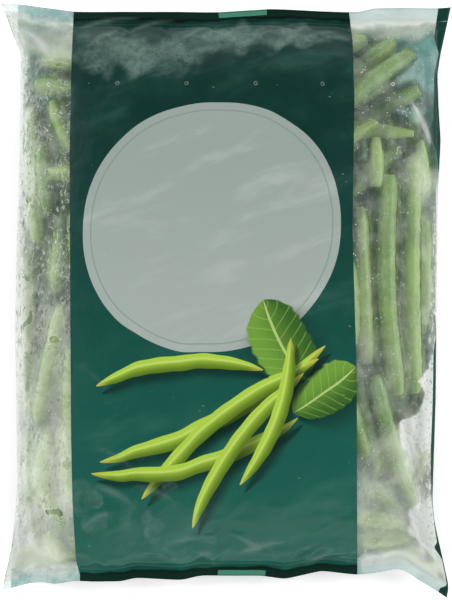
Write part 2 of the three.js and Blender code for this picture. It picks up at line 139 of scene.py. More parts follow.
# On the flat sheet: the back weld and the pale blocks beside it, as places across, and the blocks'
# ends, as places along
BACK_WELD = (301, 311)
BACK_BLOCKS = (232, 378)
BACK_BLOCK_ENDS = (60, 232)
VENT_RADIUS = 0.45
VENT_ROW = 98.2
VENTS = [-80.4, -49.2, -18, 13.2, 44.4, 75.6]
PANEL_CENTRE = (95.5, 167)
PANEL_REACH = (57, 56)
PANEL_ROUNDNESS = 2.1
# One rib of a crimp each millimetre
RIBS = 6.3

# Frost along the folds: (y, width in from the fold)
LEFT_FROST = [
    (-128, 8), (-110, 9), (-80, 6), (-40, 5), (0, 6), (30, 8), (60, 9), (90, 7), (110, 5), (118, 0),
]
RIGHT_FROST = [
    (-124, 2), (-117, 4), (-112, 9), (-108, 12), (-98, 12), (-92, 7), (-80, 9), (-70, 14), (-56, 15),
    (-52, 8), (-43, 4.5), (-37, 7), (-31, 4), (-20, 3), (-10, 5), (0, 3), (50, 2), (70, 0),
]
CRUMPLED = [(-118, 0), (-100, 0.45), (-30, 0.5), (10, 1), (90, 1), (118, 0)]
RIGHT_FROST_STRENGTH = [
    (-112, 1), (-94, 1), (-88, 0.5), (-72, 0.55), (-62, 1), (-36, 1), (-24, 0.55), (60, 0.5),
]

# Soft patches of frost, haze, and wear with painted sheen on the film: (x, y), reach across and along,
# strength
FROST_PATCHES = [((66, -118), 7, 4.5, 1.0), ((-72, -93), 7, 7, 0.5), ((-86, -104), 10, 16, 0.35)]
HAZE_PATCHES = [
    ((-86, 62), 10, 52, 0.12), ((-82, -40), 20, 60, 0.28), ((-80, -92), 20, 36, 0.32),
    ((-78, 118), 20, 11, 0.4), ((-93, 30), 4, 110, 0.3), ((78, 125), 28, 6, 0.4),
    ((74, -96), 22, 34, 0.28), ((88, 56), 8, 14, 0.26), ((66, 56), 9, 5, 0.15), ((84, -66), 12, 16, 0.22),
    ((92, 20), 4, 50, 0.12), ((72, -30), 22, 22, 0.07), ((-87, -117), 15, 9, 0.4),
    ((82, -119), 20, 7, 0.35), ((96, -124), 7, 8, 0.4), ((91, -119), 8, 7, 0.3), ((76, 131), 30, 4, 0.5),
]
# Ends of the windows that pale bean ends fill, too frosted to be seen as beans
GREEN_PATCHES = [((-81, -116), 18, 8, 0.7), ((80, -119), 18, 6, 0.6)]
# Places where only the back film's pale teal lining lies under the clear film
LINING_PATCHES = [((86, 104), 12, 15, 1.0), ((83, 84), 9, 4, 0.7), ((66, 64), 7, 3.5, 0.6)]
# Pale patches near the top weld: scuffed film, partly painted sheen where its fine wrinkles catch the light
SCUFFS_AND_SHEEN = [
    ((-52, 113), 22, 12, 0.6), ((-30, 109), 18, 10, 0.42), ((-10, 117), 26, 8, 0.48),
    ((12, 121), 26, 6, 0.45), ((38, 119), 22, 5, 0.5), ((8, 108), 26, 8, 0.16),
]
# Pale blisters low on the front band, partly painted highlights along their wrinkles
BLISTERS_AND_SHEEN = [
    ((-32, -104), 6, 10, 0.34), ((-27, -88), 5, 8, 0.26), ((-13, -107), 8, 4, 0.32),
    ((-64, -90), 6, 9, 0.4), ((-60, -102), 6, 6, 0.34), ((-8, -116), 6, 3, 0.34),
    ((-44, -113), 8, 3, 0.22), ((50, -117), 8, 4, 0.24), ((-45, -97), 5, 6, 0.3),
    ((-21, -114), 7, 3, 0.34), ((14, -112), 9, 3, 0.26), ((-36, -74), 8, 4, 0.16),
]

# Creases: start and end, half width and height
CREASES = [
    ((-94, 124), (-80, 112), 1.6, 1.6), ((-80, 112), (-78, 106), 1.4, 1.0),
    ((83, 92), (93, 69), 1.6, 2.0), ((92, 116), (96, 100), 1.4, 1.0), ((-70, 122), (-38, 128), 1.2, 0.9),
    ((-64, 114), (-48, 123), 1.4, 1.0), ((-46, 121), (-22, 127), 1.2, 0.9),
    ((-62, 28), (-48, 16), 1.3, 0.6), ((-62, -84), (-42, -93), 1.8, 1.0),
    ((-66, -104), (-52, -96), 1.5, 1.0), ((60, -110), (76, -121), 1.6, 1.2),
    ((82, -98), (90, -122), 1.8, 1.5), ((50, -112), (34, -120), 1.5, 0.8),
    ((88, -20), (91, -66), 1.4, 0.9), ((0, -106), (16, -114), 1.3, 0.9),
    ((-20, 119), (-6, 124), 1.6, 0.8), ((-62, -66), (-40, -78), 1.6, 0.6),
    ((-44, -84), (-22, -92), 2, 0.7), ((-30, -112), (-4, -108), 1.3, 0.8),
    ((4, -116), (30, -110), 1.3, 0.8), ((18, 122), (34, 118), 1.4, 0.9),
    ((-66, -30), (-52, -44), 1.4, 0.5), ((60, -52), (70, -56), 1.0, 0.5),
]

# Small rings where the film is stretched over a bean's end, drawn as painted highlights, as place and
# radius, and wet contact patches
RINGS = [
    ((-81.6, 75.7), 1.2), ((-80.7, 57.7), 1.6), ((-83.7, 3), 1.6), ((-79, -18.5), 1.8),
    ((79.3, 67.7), 1.5),
]
WET_PATCHES = [
    ((-91.2, -10.5), 1.8, 7, 1.0), ((-91, 12), 2, 5, 0.8), ((-78, -98), 5, 3, 0.8),
    ((-86, 81), 2, 2, 1.0), ((-74, 104), 7, 4, 0.7), ((-86, 94), 4, 3, 0.8),
]

# Extra beans laid in the bag wherever a gap shows through the two windows. The rim is a section of
# a bean, as shares of its radius aside and up.
MOST_DEEP_BEANS_A_SIDE = 36
DEEP_RADIUS = (2.9, 3.9)
DEEP_HALF_LENGTH = (9, 30)
DEEP_LEAN = 0.35
DEEP_BOW = 2
DEEP_TIP_SHARE = 0.8
DEEP_FIRST_SEED = 200
WINDOW_REACH = (54, 91.5)
WINDOW_END = 110
WIDEST_PLACE = 93
LEAST_ROOM = 2
FRONT_ROOM = 1.5
LEAST_FRONT_ROOM = 0.8
LEAST_PLACES_SEEN = 3
DEEP_TRIES = 2200
DEEP_SEED = 31
DEEPEST_DROP = 24
FROZEN_BITE = 0.6
BEAN_RIM = [(-1, 0), (-0.7, 0.7), (0, 1), (0.7, 0.7), (1, 0)]


def empty_selection():
    bpy.ops.object.select_all(action="DESELECT")
    bpy.context.view_layer.objects.active = None


def new_object(name, vertices, faces):
    mesh = bpy.data.meshes.new(name)
    mesh.from_pydata(vertices, [], faces)
    mesh.update()
    piece = bpy.data.objects.new(name, mesh)
    bpy.context.scene.collection.objects.link(piece)
    return piece


def soft_line(points):
    """Reads an outline at any position, with its corners eased."""
    places = np.linspace(points[0][0], points[-1][0], 400)
    values = np.interp(places, [p[0] for p in points], [p[1] for p in points])
    step = places[1] - places[0]
    reach = int(3 * OUTLINE_SOFTNESS / step) + 1
    kernel = np.exp(-0.5 * (np.arange(-reach, reach + 1) * step / OUTLINE_SOFTNESS) ** 2)
    before = 2 * values[0] - values[reach:0:-1]
    after = 2 * values[-1] - values[-2:-reach - 2:-1]
    eased = np.convolve(np.concatenate([before, values, after]), kernel / kernel.sum(), mode="valid")
    return lambda at: np.interp(at, places, eased)


def drift(u, v, grain, seed):
    """Smooth random values from -1 to 1, in patches about one grain wide."""
    table = np.random.default_rng(seed).uniform(-1, 1, (128, 128))
    a, b = u / grain, v / grain
    i, j = np.floor(a).astype(int), np.floor(b).astype(int)
    f, g = a - i, b - j
    f, g = f * f * (3 - 2 * f), g * g * (3 - 2 * g)
    low = table[i % 128, j % 128] * (1 - f) + table[(i + 1) % 128, j % 128] * f
    high = table[i % 128, (j + 1) % 128] * (1 - f) + table[(i + 1) % 128, (j + 1) % 128] * f
    return low * (1 - g) + high * g


def smooth_step(value, low, high):
    share = np.clip((value - low) / (high - low), 0, 1)
    return share * share * (3 - 2 * share)


def read_line(points, at):
    return np.interp(at, [p[0] for p in points], [p[1] for p in points])


def paint(x, y, patches, inner=0.45, outer=1.25):
    """Adds up patches whose rims wander a little, full as far as the inner share of their reach."""
    x = x + 3.5 * drift(x, y, 7, 5)
    y = y + 3.5 * drift(x, y, 7, 6)
    amount = np.zeros_like(x)
    for middle, across, along, strength in patches:
        away = np.hypot((x - middle[0]) / across, (y - middle[1]) / along)
        amount += strength * (1 - smooth_step(away, inner, outer))
    return np.clip(amount, -0.3, 1)


left_side = soft_line(LEFT_SIDE)
right_side = soft_line(RIGHT_SIDE)
top_end = soft_line(TOP_END)
bottom_end = soft_line(BOTTOM_END)


def fullness_across(x, y):
    left = np.maximum(left_side(y), -FILLED_HALF_WIDTH)
    right = np.minimum(right_side(y), FILLED_HALF_WIDTH)
    away = np.clip(np.abs(x - (left + right) / 2) / ((right - left) / 2), 0, 1)
    return (1 - away ** ACROSS_ROUNDNESS) ** ACROSS_ROOT


def fullness_along(v):
    return (1 - np.clip(np.abs(v), 0, 1) ** ALONG_ROUNDNESS) ** ALONG_ROOT


def even_steps(across, up, count):
    """Splits a curve into steps of equal length and gives the share of each along its points."""
    lengths = np.concatenate([[0], np.cumsum(np.hypot(np.diff(across), np.diff(up)))])
    marks = np.linspace(0, lengths[-1], count + 1)
    return np.interp(marks, lengths, np.arange(len(lengths))), lengths[-1]


def row_places():
    """Each row as (share of the filled length from -1 to 1, millimetres into the weld, flat height)."""
    v = -np.cos(np.linspace(0, math.pi, 800))
    rise = CROWN_HEIGHT - FOLD_HEIGHT
    index, length = even_steps(v * HALF_LENGTH, fullness_along(v) * rise, FILLED_ROWS)
    filled = np.interp(index, np.arange(len(v)), v)
    rows = [(-1, -WELD_WIDTH + i, i) for i in range(WELD_ROWS)]
    rows += [(place, 0, WELD_WIDTH + length * i / FILLED_ROWS) for i, place in enumerate(filled)]
    rows += [(1, i + 1, WELD_WIDTH + length + i + 1) for i in range(WELD_ROWS)]
    return rows


def row_height(x, v, past):
    low = bottom_end(x) + WELD_WIDTH
    high = top_end(x) - WELD_WIDTH
    return low + (high - low) * (v + 1) / 2 + past


def row_end(outline, v, past):
    """Where a row of the film meets a side of the bag."""
    x = outline(HALF_LENGTH * v + past)
    for _ in range(6):
        x = outline(row_height(x, v, past))
    return x


def section(v, past, side, count):
    """One row of the film, from the left fold to the right one, in steps of equal length."""
    share = (1 - np.cos(np.linspace(0, math.pi, 500))) / 2
    first, last = row_end(left_side, v, past), row_end(right_side, v, past)
    x = first + (last - first) * share
    y = row_height(x, v, past)
    full = fullness_along(v)
    fold = WELD_HEIGHT + (FOLD_HEIGHT - WELD_HEIGHT) * full
    swell = fullness_across(x, y) * full
    gap = FILM_HALF_GAP * np.minimum(1, 40 * share * (1 - share))
    if side > 0:
        z = fold + gap + (CROWN_HEIGHT - FOLD_HEIGHT) * swell
    else:
        z = np.maximum(0, fold - gap - UNDERSIDE_SAG * swell)
    index, _ = even_steps(x, z, count)
    spots = np.arange(len(x))
    return np.stack([np.interp(index, spots, x), np.interp(index, spots, y), np.interp(index, spots, z)], 1)


def bag_rings():
    """The film as rows of points that run right round the bag: front first, then back."""
    rows = row_places()
    rings = []
    for v, past, _ in rows:
        front = section(v, past, 1, FRONT_COLUMNS)
        back = section(v, past, -1, BACK_COLUMNS)[::-1]
        rings.append(np.concatenate([front, back[1:-1]]))
    return np.array(rings), np.array([flat for _, _, flat in rows])


def ring_normals(rings):
    around = np.roll(rings, -1, 1) - np.roll(rings, 1, 1)
    along = np.gradient(rings, axis=0)
    normals = np.cross(around, along)
    return normals / np.maximum(np.linalg.norm(normals, axis=2, keepdims=True), 1e-9)


def neighbour_mean(values):
    padded = np.pad(values, ((1, 1), (0, 0)), mode="edge")
    return (padded[:-2] + padded[2:] + np.roll(values, 1, 1) + np.roll(values, -1, 1)) / 4


# The beans

BEAN_SIDES = 18
BEAN_RINGS = 46
SEED_SPACING = 9.5 * MM
SKIN_LENGTH = 120 * MM
CLUMP_GRAIN = 1.1 * MM
CLUMP_SWELL = 0.25 * MM
SEED_BULGE = 0.05
ROUND_END = 7 * MM
OVAL = 0.05
UNEVENNESS = 0.02
END_UNEVENNESS = 0.04


def merged_copy(node, name):
    """A copy of a CAD node as one joined mesh."""
    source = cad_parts[node]
    mesh = source.data.copy()
    mesh.name = name
    mesh.transform(source.matrix_world)
    builder = bmesh.new()
    builder.from_mesh(mesh)
    bmesh.ops.remove_doubles(builder, verts=builder.verts, dist=0.01 * MM)
    builder.to_mesh(mesh)
    builder.free()
    mesh.materials.clear()
    piece = bpy.data.objects.new(name, mesh)
    bpy.context.scene.collection.objects.link(piece)
    return piece


def bean_route(node):
    """Middle line and width of a single bean, read ring by ring from its stem end."""
    piece = merged_copy(node, node + "_route")
    builder = bmesh.new()
    builder.from_mesh(piece.data)
    poles = [v for v in builder.verts if len({f for f in v.link_faces}) == len(v.link_edges) == 8
             and all(len(e.other_vert(v).link_edges) <= 7 for e in v.link_edges)]
    start = max(poles, key=lambda v: sum(e.calc_length() for e in v.link_edges))
    rings = []
    seen = {start}
    ring = [start]
    while ring:
        places = [np.array(v.co) for v in ring]
        middle = np.mean(places, axis=0)
        rings.append((middle, max(np.linalg.norm(p - middle) for p in places)))
        ring = list({e.other_vert(v) for v in ring for e in v.link_edges} - seen)
        seen.update(ring)
    builder.free()
    bpy.data.objects.remove(piece)
    return rings


def straight_bean():
    """A plain straight bean, one long and one in radius, ready to be bent along a route."""
    empty_selection()
    bpy.ops.mesh.primitive_cylinder_add(vertices=BEAN_SIDES, radius=1, depth=1, location=(0, 0, 0.5))
    bean = bpy.context.object
    bpy.ops.object.transform_apply(location=True, rotation=True, scale=True)
    bpy.ops.object.mode_set(mode="EDIT")
    bpy.ops.mesh.select_mode(type="EDGE")
    bpy.ops.mesh.select_all(action="DESELECT")
    bpy.ops.object.mode_set(mode="OBJECT")
    for edge in bean.data.edges:
        a, b = (bean.data.vertices[i].co for i in edge.vertices)
        edge.select = abs(a.z - b.z) > 0.5
    bpy.ops.object.mode_set(mode="EDIT")
    bpy.ops.mesh.subdivide(number_cuts=BEAN_RINGS)
    bpy.ops.mesh.select_mode(type="FACE")
    bpy.ops.mesh.select_all(action="DESELECT")
    bpy.ops.object.mode_set(mode="OBJECT")
    for face in bean.data.polygons:
        face.select = abs(face.normal.z) > 0.9
    bpy.ops.object.mode_set(mode="EDIT")
    for step_in in (0.06, 0.12, 0.2, 0.25):
        bpy.ops.mesh.inset(thickness=step_in)
    bpy.ops.mesh.poke()
    bpy.ops.object.mode_set(mode="OBJECT")
    bean.data.update()
    return bean


def spline(points, shares):
    """Smooth curve through points, read at shares of its length."""
    steps = np.concatenate([[0], np.cumsum(np.linalg.norm(np.diff(points, axis=0), axis=1))])
    dense = np.linspace(0, steps[-1], 240)
    curve = np.stack([np.interp(dense, steps, points[:, k]) for k in range(3)], 1)
    for _ in range(400):
        curve[1:-1] = curve[1:-1] * 0.5 + (curve[:-2] + curve[2:]) * 0.25
    lengths = np.concatenate([[0], np.cumsum(np.linalg.norm(np.diff(curve, axis=0), axis=1))])
    at = shares * lengths[-1]
    return np.stack([np.interp(at, lengths, curve[:, k]) for k in range(3)], 1), lengths[-1]


def bend_bean(name, master, route, radius, tip_share, seed):
    """Bends a copy of the straight bean along a route, with a seed's bulges and two cut ends."""
    random = np.random.default_rng(seed)
    mesh = master.data.copy()
    mesh.name = name
    co = np.empty(len(mesh.vertices) * 3)
    mesh.vertices.foreach_get("co", co)
    co = co.reshape(-1, 3)
    along = np.clip(co[:, 2], 0, 1)
    place, length = spline(route, along)
    ahead, _ = spline(route, np.clip(along + 0.02, 0, 1))
    behind, _ = spline(route, np.clip(along - 0.02, 0, 1))
    way = ahead - behind
    way /= np.linalg.norm(way, axis=1, keepdims=True)
    side = np.cross(np.array([0.0, 0.0, 1.0]), way)
    side /= np.linalg.norm(side, axis=1, keepdims=True)
    up = np.cross(way, side)
    seeds = length / SEED_SPACING
    pulse = 0.5 + 0.5 * np.cos(2 * math.pi * (along * seeds + random.random()))
    bulge = 0.97 + SEED_BULGE * pulse * np.sin(math.pi * along) ** 0.5
    from_end = np.minimum(along, 1 - along) * length
    ends = 0.72 + 0.28 * smooth_step(from_end, -2 * MM, ROUND_END)
    taper = 1 - (1 - tip_share) * np.clip((along - 0.6) / 0.4, 0, 1) ** 1.6
    turn = random.random() * math.pi
    round_it = np.arctan2(co[:, 1], co[:, 0])
    girth = radius * bulge * ends * taper * (1 + OVAL * np.cos(2 * (round_it - turn)))
    girth *= 1 + UNEVENNESS * random.normal(0, 1, len(co)) * (from_end > MM)
    spread = np.hypot(co[:, 0], co[:, 1])
    ending = np.where(along <= 0, 1.0, np.where(along >= 1, -1.0, 0.0))
    dome = (0.35 * np.sqrt(np.clip(1 - spread ** 2, 0, 1)) - 0.3 * np.clip(0.7 - spread, 0, 1)) * radius
    wobble = random.normal(0, END_UNEVENNESS, len(co)) * radius
    place = place - way * ((dome + wobble) * ending)[:, None]
    place = place + side * (co[:, 0] * girth)[:, None] + up * (co[:, 1] * girth)[:, None]
    mesh.vertices.foreach_set("co", place.ravel())
    end_mark = mesh.attributes.new("cut", "FLOAT", "POINT")
    end_mark.data.foreach_set("value", ((ending != 0) & (spread < 0.9)).astype(float))
    skin = mesh.uv_layers.new(name="skin")
    loops = np.empty(len(mesh.loops), dtype=int)
    mesh.loops.foreach_get("vertex_index", loops)
    uv = np.stack([round_it[loops] / (2 * math.pi) + 0.5, along[loops] * length / SKIN_LENGTH], 1)
    skin.data.foreach_set("uv", uv.ravel())
    mesh.polygons.foreach_set("use_smooth", [True] * len(mesh.polygons))
    mesh.materials.clear()
    mesh.update()
    piece = bpy.data.objects.new(name, mesh)
    bpy.context.scene.collection.objects.link(piece)
    return piece


def bean_from_node(name, master, node, seed):
    rings = bean_route(node)
    radius = max(width for _, width in rings)
    tip_share = max(rings[-2][1] / radius / 0.8, 0.6)
    return bend_bean(name, master, np.array([middle for middle, _ in rings]), radius, tip_share, seed)


def freeze_clump(node):
    """Rounds off a clump of beans and the frost that joins them."""
    piece = merged_copy(node, node + "_frozen")
    empty_selection()
    bpy.context.view_layer.objects.active = piece
    piece.select_set(True)
    grain = piece.modifiers.new("grain", "REMESH")
    grain.mode = "VOXEL"
    grain.voxel_size = CLUMP_GRAIN
    bpy.ops.object.modifier_apply(modifier=grain.name)
    rounding = piece.modifiers.new("rounding", "SMOOTH")
    rounding.factor = 0.6
    rounding.iterations = 6
    bpy.ops.object.modifier_apply(modifier=rounding.name)
    swell = piece.modifiers.new("swell", "DISPLACE")
    swell.strength = CLUMP_SWELL
    swell.mid_level = 0
    bpy.ops.object.modifier_apply(modifier=swell.name)
    piece.data.polygons.foreach_set("use_smooth", [True] * len(piece.data.polygons))
    return piece


# Materials

class Wire:
    """The output of a node, which adds, multiplies and compares as a number does."""

    def __init__(self, draw, socket):
        self.draw = draw
        self.socket = socket

    def __add__(self, other):
        return self.draw.math("ADD", self, other)

    def __radd__(self, other):
        return self.draw.math("ADD", other, self)

    def __sub__(self, other):
        return self.draw.math("SUBTRACT", self, other)

    def __rsub__(self, other):
        return self.draw.math("SUBTRACT", other, self)

    def __mul__(self, other):
        return self.draw.math("MULTIPLY", self, other)

    def __truediv__(self, other):
        return self.draw.math("DIVIDE", self, other)

    def __pow__(self, other):
        return self.draw.math("POWER", self, other)

    def __abs__(self):
        return self.draw.math("ABSOLUTE", self)

    def __lt__(self, other):
        return self.draw.math("LESS_THAN", self, other)

    def __gt__(self, other):
        return self.draw.math("GREATER_THAN", self, other)


class Nodes:
    """Short hands for writing a node tree."""

    def __init__(self, tree):
        self.tree = tree

    def wire(self, made, name):
        return Wire(self, made.outputs[name])

    def add(self, kind, **settings):
        made = self.tree.nodes.new(kind)
        for key, value in settings.items():
            setattr(made, key, value)
        return made

    def feed(self, socket, value):
        if isinstance(value, Wire):
            self.tree.links.new(value.socket, socket)
        else:
            socket.default_value = value

    def math(self, operation, *values, clamp=False):
        made = self.add("ShaderNodeMath", operation=operation, use_clamp=clamp)
        for socket, value in zip(made.inputs, values):
            self.feed(socket, value)
        return self.wire(made, 0)

    def most(self, *values):
        return self.math("MAXIMUM", *values)

    def least(self, *values):
        return self.math("MINIMUM", *values)

    def sine(self, value):
        return self.math("SINE", value)

    def ease(self, value, low, high, to_low=0.0, to_high=1.0):
        made = self.add("ShaderNodeMapRange", interpolation_type="SMOOTHSTEP")
        for name, given in (("Value", value), ("From Min", low), ("From Max", high),
                            ("To Min", to_low), ("To Max", to_high)):
            self.feed(made.inputs[name], given)
        return self.wire(made, "Result")

    def blend(self, share, first, second):
        made = self.add("ShaderNodeMix", data_type="RGBA")
        self.feed(made.inputs[0], share)
        self.feed(made.inputs[6], first)
        self.feed(made.inputs[7], second)
        return self.wire(made, 2)

    def between(self, value, low, high):
        return (value > low) * (value < high)

    def place(self, kind, vector, values, **settings):
        """A node that reads a position, with its other inputs set by name."""
        made = self.add(kind, **settings)
        self.feed(made.inputs["Vector"], vector)
        for name, value in values.items():
            self.feed(made.inputs[name], value)
        return made

    def stretch(self, vector, scale):
        return self.wire(self.place("ShaderNodeMapping", vector, {"Scale": scale}), "Vector")

    def turn(self, vector, angle):
        return self.wire(self.place("ShaderNodeMapping", vector, {"Rotation": (0, 0, angle)}), "Vector")

    def split(self, vector):
        made = self.add("ShaderNodeSeparateXYZ")
        self.feed(made.inputs[0], vector)
        return [self.wire(made, axis) for axis in "XYZ"]

    def mark(self, name):
        return self.wire(self.add("ShaderNodeAttribute", attribute_name=name), "Fac")

    def clouds(self, vector, scale, detail=3.0, roughness=0.5, distortion=0.0):
        values = {"Scale": scale, "Detail": detail, "Roughness": roughness, "Distortion": distortion}
        return self.wire(self.place("ShaderNodeTexNoise", vector, values), "Fac")

    def swirl(self, vector, scale, reach):
        """Pushes a position about, so that a pattern laid on it loses its straight lines."""
        noise = self.place("ShaderNodeTexNoise", vector, {"Scale": scale})
        made = self.add("ShaderNodeVectorMath", operation="MULTIPLY_ADD")
        for socket, value in zip(made.inputs, (self.wire(noise, "Color"), (reach,) * 3, vector)):
            self.feed(socket, value)
        return self.wire(made, "Vector")

    def cells(self, vector, scale, feature="F1"):
        made = self.place("ShaderNodeTexVoronoi", vector, {"Scale": scale}, feature=feature)
        return self.wire(made, "Distance")

    def bump(self, shader, height, strength, distance):
        """Lets a height stand out of the surface, in metres."""
        made = self.add("ShaderNodeBump")
        for name, value in (("Strength", strength), ("Distance", distance), ("Height", height)):
            self.feed(made.inputs[name], value)
        self.feed(shader.inputs["Normal"], self.wire(made, "Normal"))


# Below this share a screen's scale is a straight line
DARK_SHARE = 10 / 255


def colour(red, green, blue):
    """A paint value as read off a screen, turned to linear light."""
    shares = [part / 255 for part in (red, green, blue)]
    linear = [((share + 0.055) / 1.055) ** 2.4 if share > DARK_SHARE else share / 12.92 for share in shares]
    return (*linear, 1.0)


# Kinds of the group inputs and outputs that don't hold a plain value
SOCKET_KINDS = {
    "Vector": "Vector", "Streaks": "Vector", "Light": "Color", "Dark": "Color", "Colour": "Color",
}
# Inputs that place a mark on the flat film
MARK_PLACE = ("Across", "Along", "Centre Across", "Centre Along")


def new_group(name, inputs, outputs):
    """A node group, whose inputs and outputs hold a plain value unless another kind is given above."""
    group = bpy.data.node_groups.new(name, "ShaderNodeTree")
    for side, labels in (("INPUT", inputs), ("OUTPUT", outputs)):
        for label in labels:
            kind = "NodeSocket" + SOCKET_KINDS.get(label, "Float")
            group.interface.new_socket(label, in_out=side, socket_type=kind)
    draw = Nodes(group)
    given = draw.add("NodeGroupInput")
    return draw, {label: draw.wire(given, label) for label in inputs}, draw.add("NodeGroupOutput").inputs


def use_group(draw, group, **values):
    made = draw.add("ShaderNodeGroup", node_tree=group)
    for label, value in values.items():
        draw.feed(made.inputs[label.replace("_", " ")], value)
    return {socket.name: Wire(draw, socket) for socket in made.outputs}


def frost_group():
    """White frost: grainy patches where the amount is high, and clusters of fine specks everywhere."""
    draw, given, out = new_group("frost", ("Vector", "Amount", "Specks"), ("Mask", "Specks", "Height"))
    streaked = draw.stretch(given["Vector"], (1.7, 0.7, 1.7))
    patches = draw.clouds(streaked, 300, 6, 0.75, 0.5)
    filled = given["Amount"] + (patches - 0.5) * 1.9
    mask = draw.ease(filled, 0.34, 0.8)
    pits = draw.clouds(given["Vector"], 620, 2, 0.6)
    mask = mask * draw.ease(pits, 0.3, 0.44, 0.5, 1)
    dots = draw.cells(given["Vector"], 700)
    where = draw.clouds(given["Vector"], 150, 4, 0.7)
    size = draw.ease(where, 0.44, 0.68, 0.03, 0.19) * given["Specks"]
    specks = dots < size
    draw.feed(out["Mask"], mask)
    draw.feed(out["Specks"], specks)
    draw.feed(out["Height"], mask + specks)
    return draw.tree


def pod_skin_group():
    """Green skin of a pod: streaks, mottling and fine grain."""
    draw, given, out = new_group("pod_skin", ("Vector", "Streaks", "Light", "Dark"), ("Colour", "Height"))
    streaks = draw.clouds(given["Streaks"], 9, 4, 0.6)
    mottle = draw.clouds(given["Vector"], 55, 4, 0.55)
    grain = draw.clouds(given["Vector"], 900, 2, 0.5)
    both = streaks * 0.35 + mottle * 0.65
    draw.feed(out["Colour"], draw.blend(draw.ease(both, 0.34, 0.64), given["Dark"], given["Light"]))
    height = grain * 0.5 + streaks
    draw.feed(out["Height"], height)
    return draw.tree


def from_centre(given):
    """How far a point of the flat film lies across and along from a mark's centre."""
    return given["Across"] - given["Centre Across"], given["Along"] - given["Centre Along"]


def ragged_distance(draw, given, dx, dy, raggedness):
    away = draw.math("SQRT", dx * dx + dy * dy)
    return away + (given["Ragged"] - 0.5) * raggedness


def motif_group():
    """A printed pod or leaf: a bent tapering shape placed on the flat film, with its own shading."""
    inputs = (*MARK_PLACE, "Turn", "Length", "Width", "Bow", "Soft")
    draw, given, out = new_group("motif", inputs, ("Mask", "Side", "Place"))
    dx, dy = from_centre(given)
    cosine = draw.math("COSINE", given["Turn"])
    sine = draw.sine(given["Turn"])
    lengthwise = dx * cosine + dy * sine
    sideways = dy * cosine - dx * sine
    place = lengthwise / (given["Length"] * 0.5)
    inside = draw.least(abs(place), 1.0)
    arch = 1.0 - place * place
    bent = sideways - given["Bow"] * arch
    taper = (1.0 - inside ** 3.5) ** 0.8
    beads = 1.0 + draw.sine(place * 23.0) * 0.03
    half = given["Width"] * 0.5 * (taper * beads)
    side = bent / draw.most(half, 0.02)
    edge = abs(side)
    low = 1.0 - given["Soft"]
    mask = 1.0 - draw.ease(edge, low, 1.0 + given["Soft"])
    shown = mask * (abs(place) < 0.995)
    draw.feed(out["Mask"], shown)
    draw.feed(out["Side"], side)
    draw.feed(out["Place"], place)
    return draw.tree


def vent_group():
    """A needle vent: a prick painted dark as shade, with a ragged white rim, placed on the flat film."""
    draw, given, out = new_group("vent", (*MARK_PLACE, "Ragged"), ("Hole", "Rim"))
    away = ragged_distance(draw, given, *from_centre(given), 1.1)
    draw.feed(out["Hole"], away < VENT_RADIUS)
    draw.feed(out["Rim"], draw.ease(away, 2.6 * VENT_RADIUS, 1.4 * VENT_RADIUS))
    return draw.tree


def ring_group():
    """A ring where the film is stretched over a bean's end: a broken white line, a painted highlight, round
    a clear spot.
    """
    draw, given, out = new_group("ring", (*MARK_PLACE, "Radius", "Ragged"), ("Line", "Inside"))
    dx, dy = from_centre(given)
    away = ragged_distance(draw, given, dx, dy, 1.6)
    off_line = abs(away - given["Radius"])
    # The painted highlight is brighter on one side of the ring
    strength = draw.ease(dy - dx, -1.5, 1.5, 0.2, 0.8)
    draw.feed(out["Line"], draw.ease(off_line, 0.55, 0.1) * strength)
    draw.feed(out["Inside"], away < given["Radius"])
    return draw.tree


FROST = frost_group()
POD_SKIN = pod_skin_group()
MOTIF = motif_group()
VENT = vent_group()
RING = ring_group()


def new_material(name):
    material = bpy.data.materials.new(name)
    material.use_nodes = True
    draw = Nodes(material.node_tree)
    shader = material.node_tree.nodes["Principled BSDF"]
    return material, draw, shader


def bean_material(name, light, dark, has_skin_map):
    """Lightly frosted pod skin, with pale cut ends on a single bean."""
    material, draw, shader = new_material(name)
    place = draw.wire(draw.add("ShaderNodeTexCoord"), "Object")
    if has_skin_map:
        skin_map = draw.wire(draw.add("ShaderNodeUVMap", uv_map="skin"), "UV")
        streaks = draw.stretch(skin_map, (1.2, 0.35, 1))
    else:
        streaks = draw.stretch(place, (30, 4, 30))
    skin = use_group(draw, POD_SKIN, Vector=place, Streaks=streaks, Light=light, Dark=dark)
    frost = use_group(draw, FROST, Vector=place, Amount=0.3, Specks=0.8)
    frosted = draw.most(frost["Mask"], frost["Specks"]) * 0.42
    body = draw.blend(frosted, skin["Colour"], colour(214, 222, 204))
    if has_skin_map:
        body = draw.blend(draw.mark("cut") * 0.6, body, colour(172, 190, 122))
    draw.feed(shader.inputs["Base Color"], body)
    draw.feed(shader.inputs["Roughness"], draw.ease(frosted, 0, 0.6, 0.42, 0.75))
    draw.bump(shader, skin["Height"] + frost["Height"] * 0.8, 0.35, 0.4 * MM)
    return material


# Printed motifs: (across, along, turn in degrees, length, width, bow), in millimetres of flat film
PODS = [
    (96, 88, 26, 112, 7.6, -8), (104, 76, 38, 100, 7.4, 7), (88, 70, 14, 96, 7.2, -10),
    (112, 66, 55, 86, 7.0, 6), (82, 100, 4, 74, 6.8, 7), (120, 84, 72, 70, 6.6, -6),
]
LEAVES = [(128, 116, 118, 40, 25, 2), (146, 94, 36, 34, 20, -2)]
PRINT_SHADOW = (2.6, -3.4)


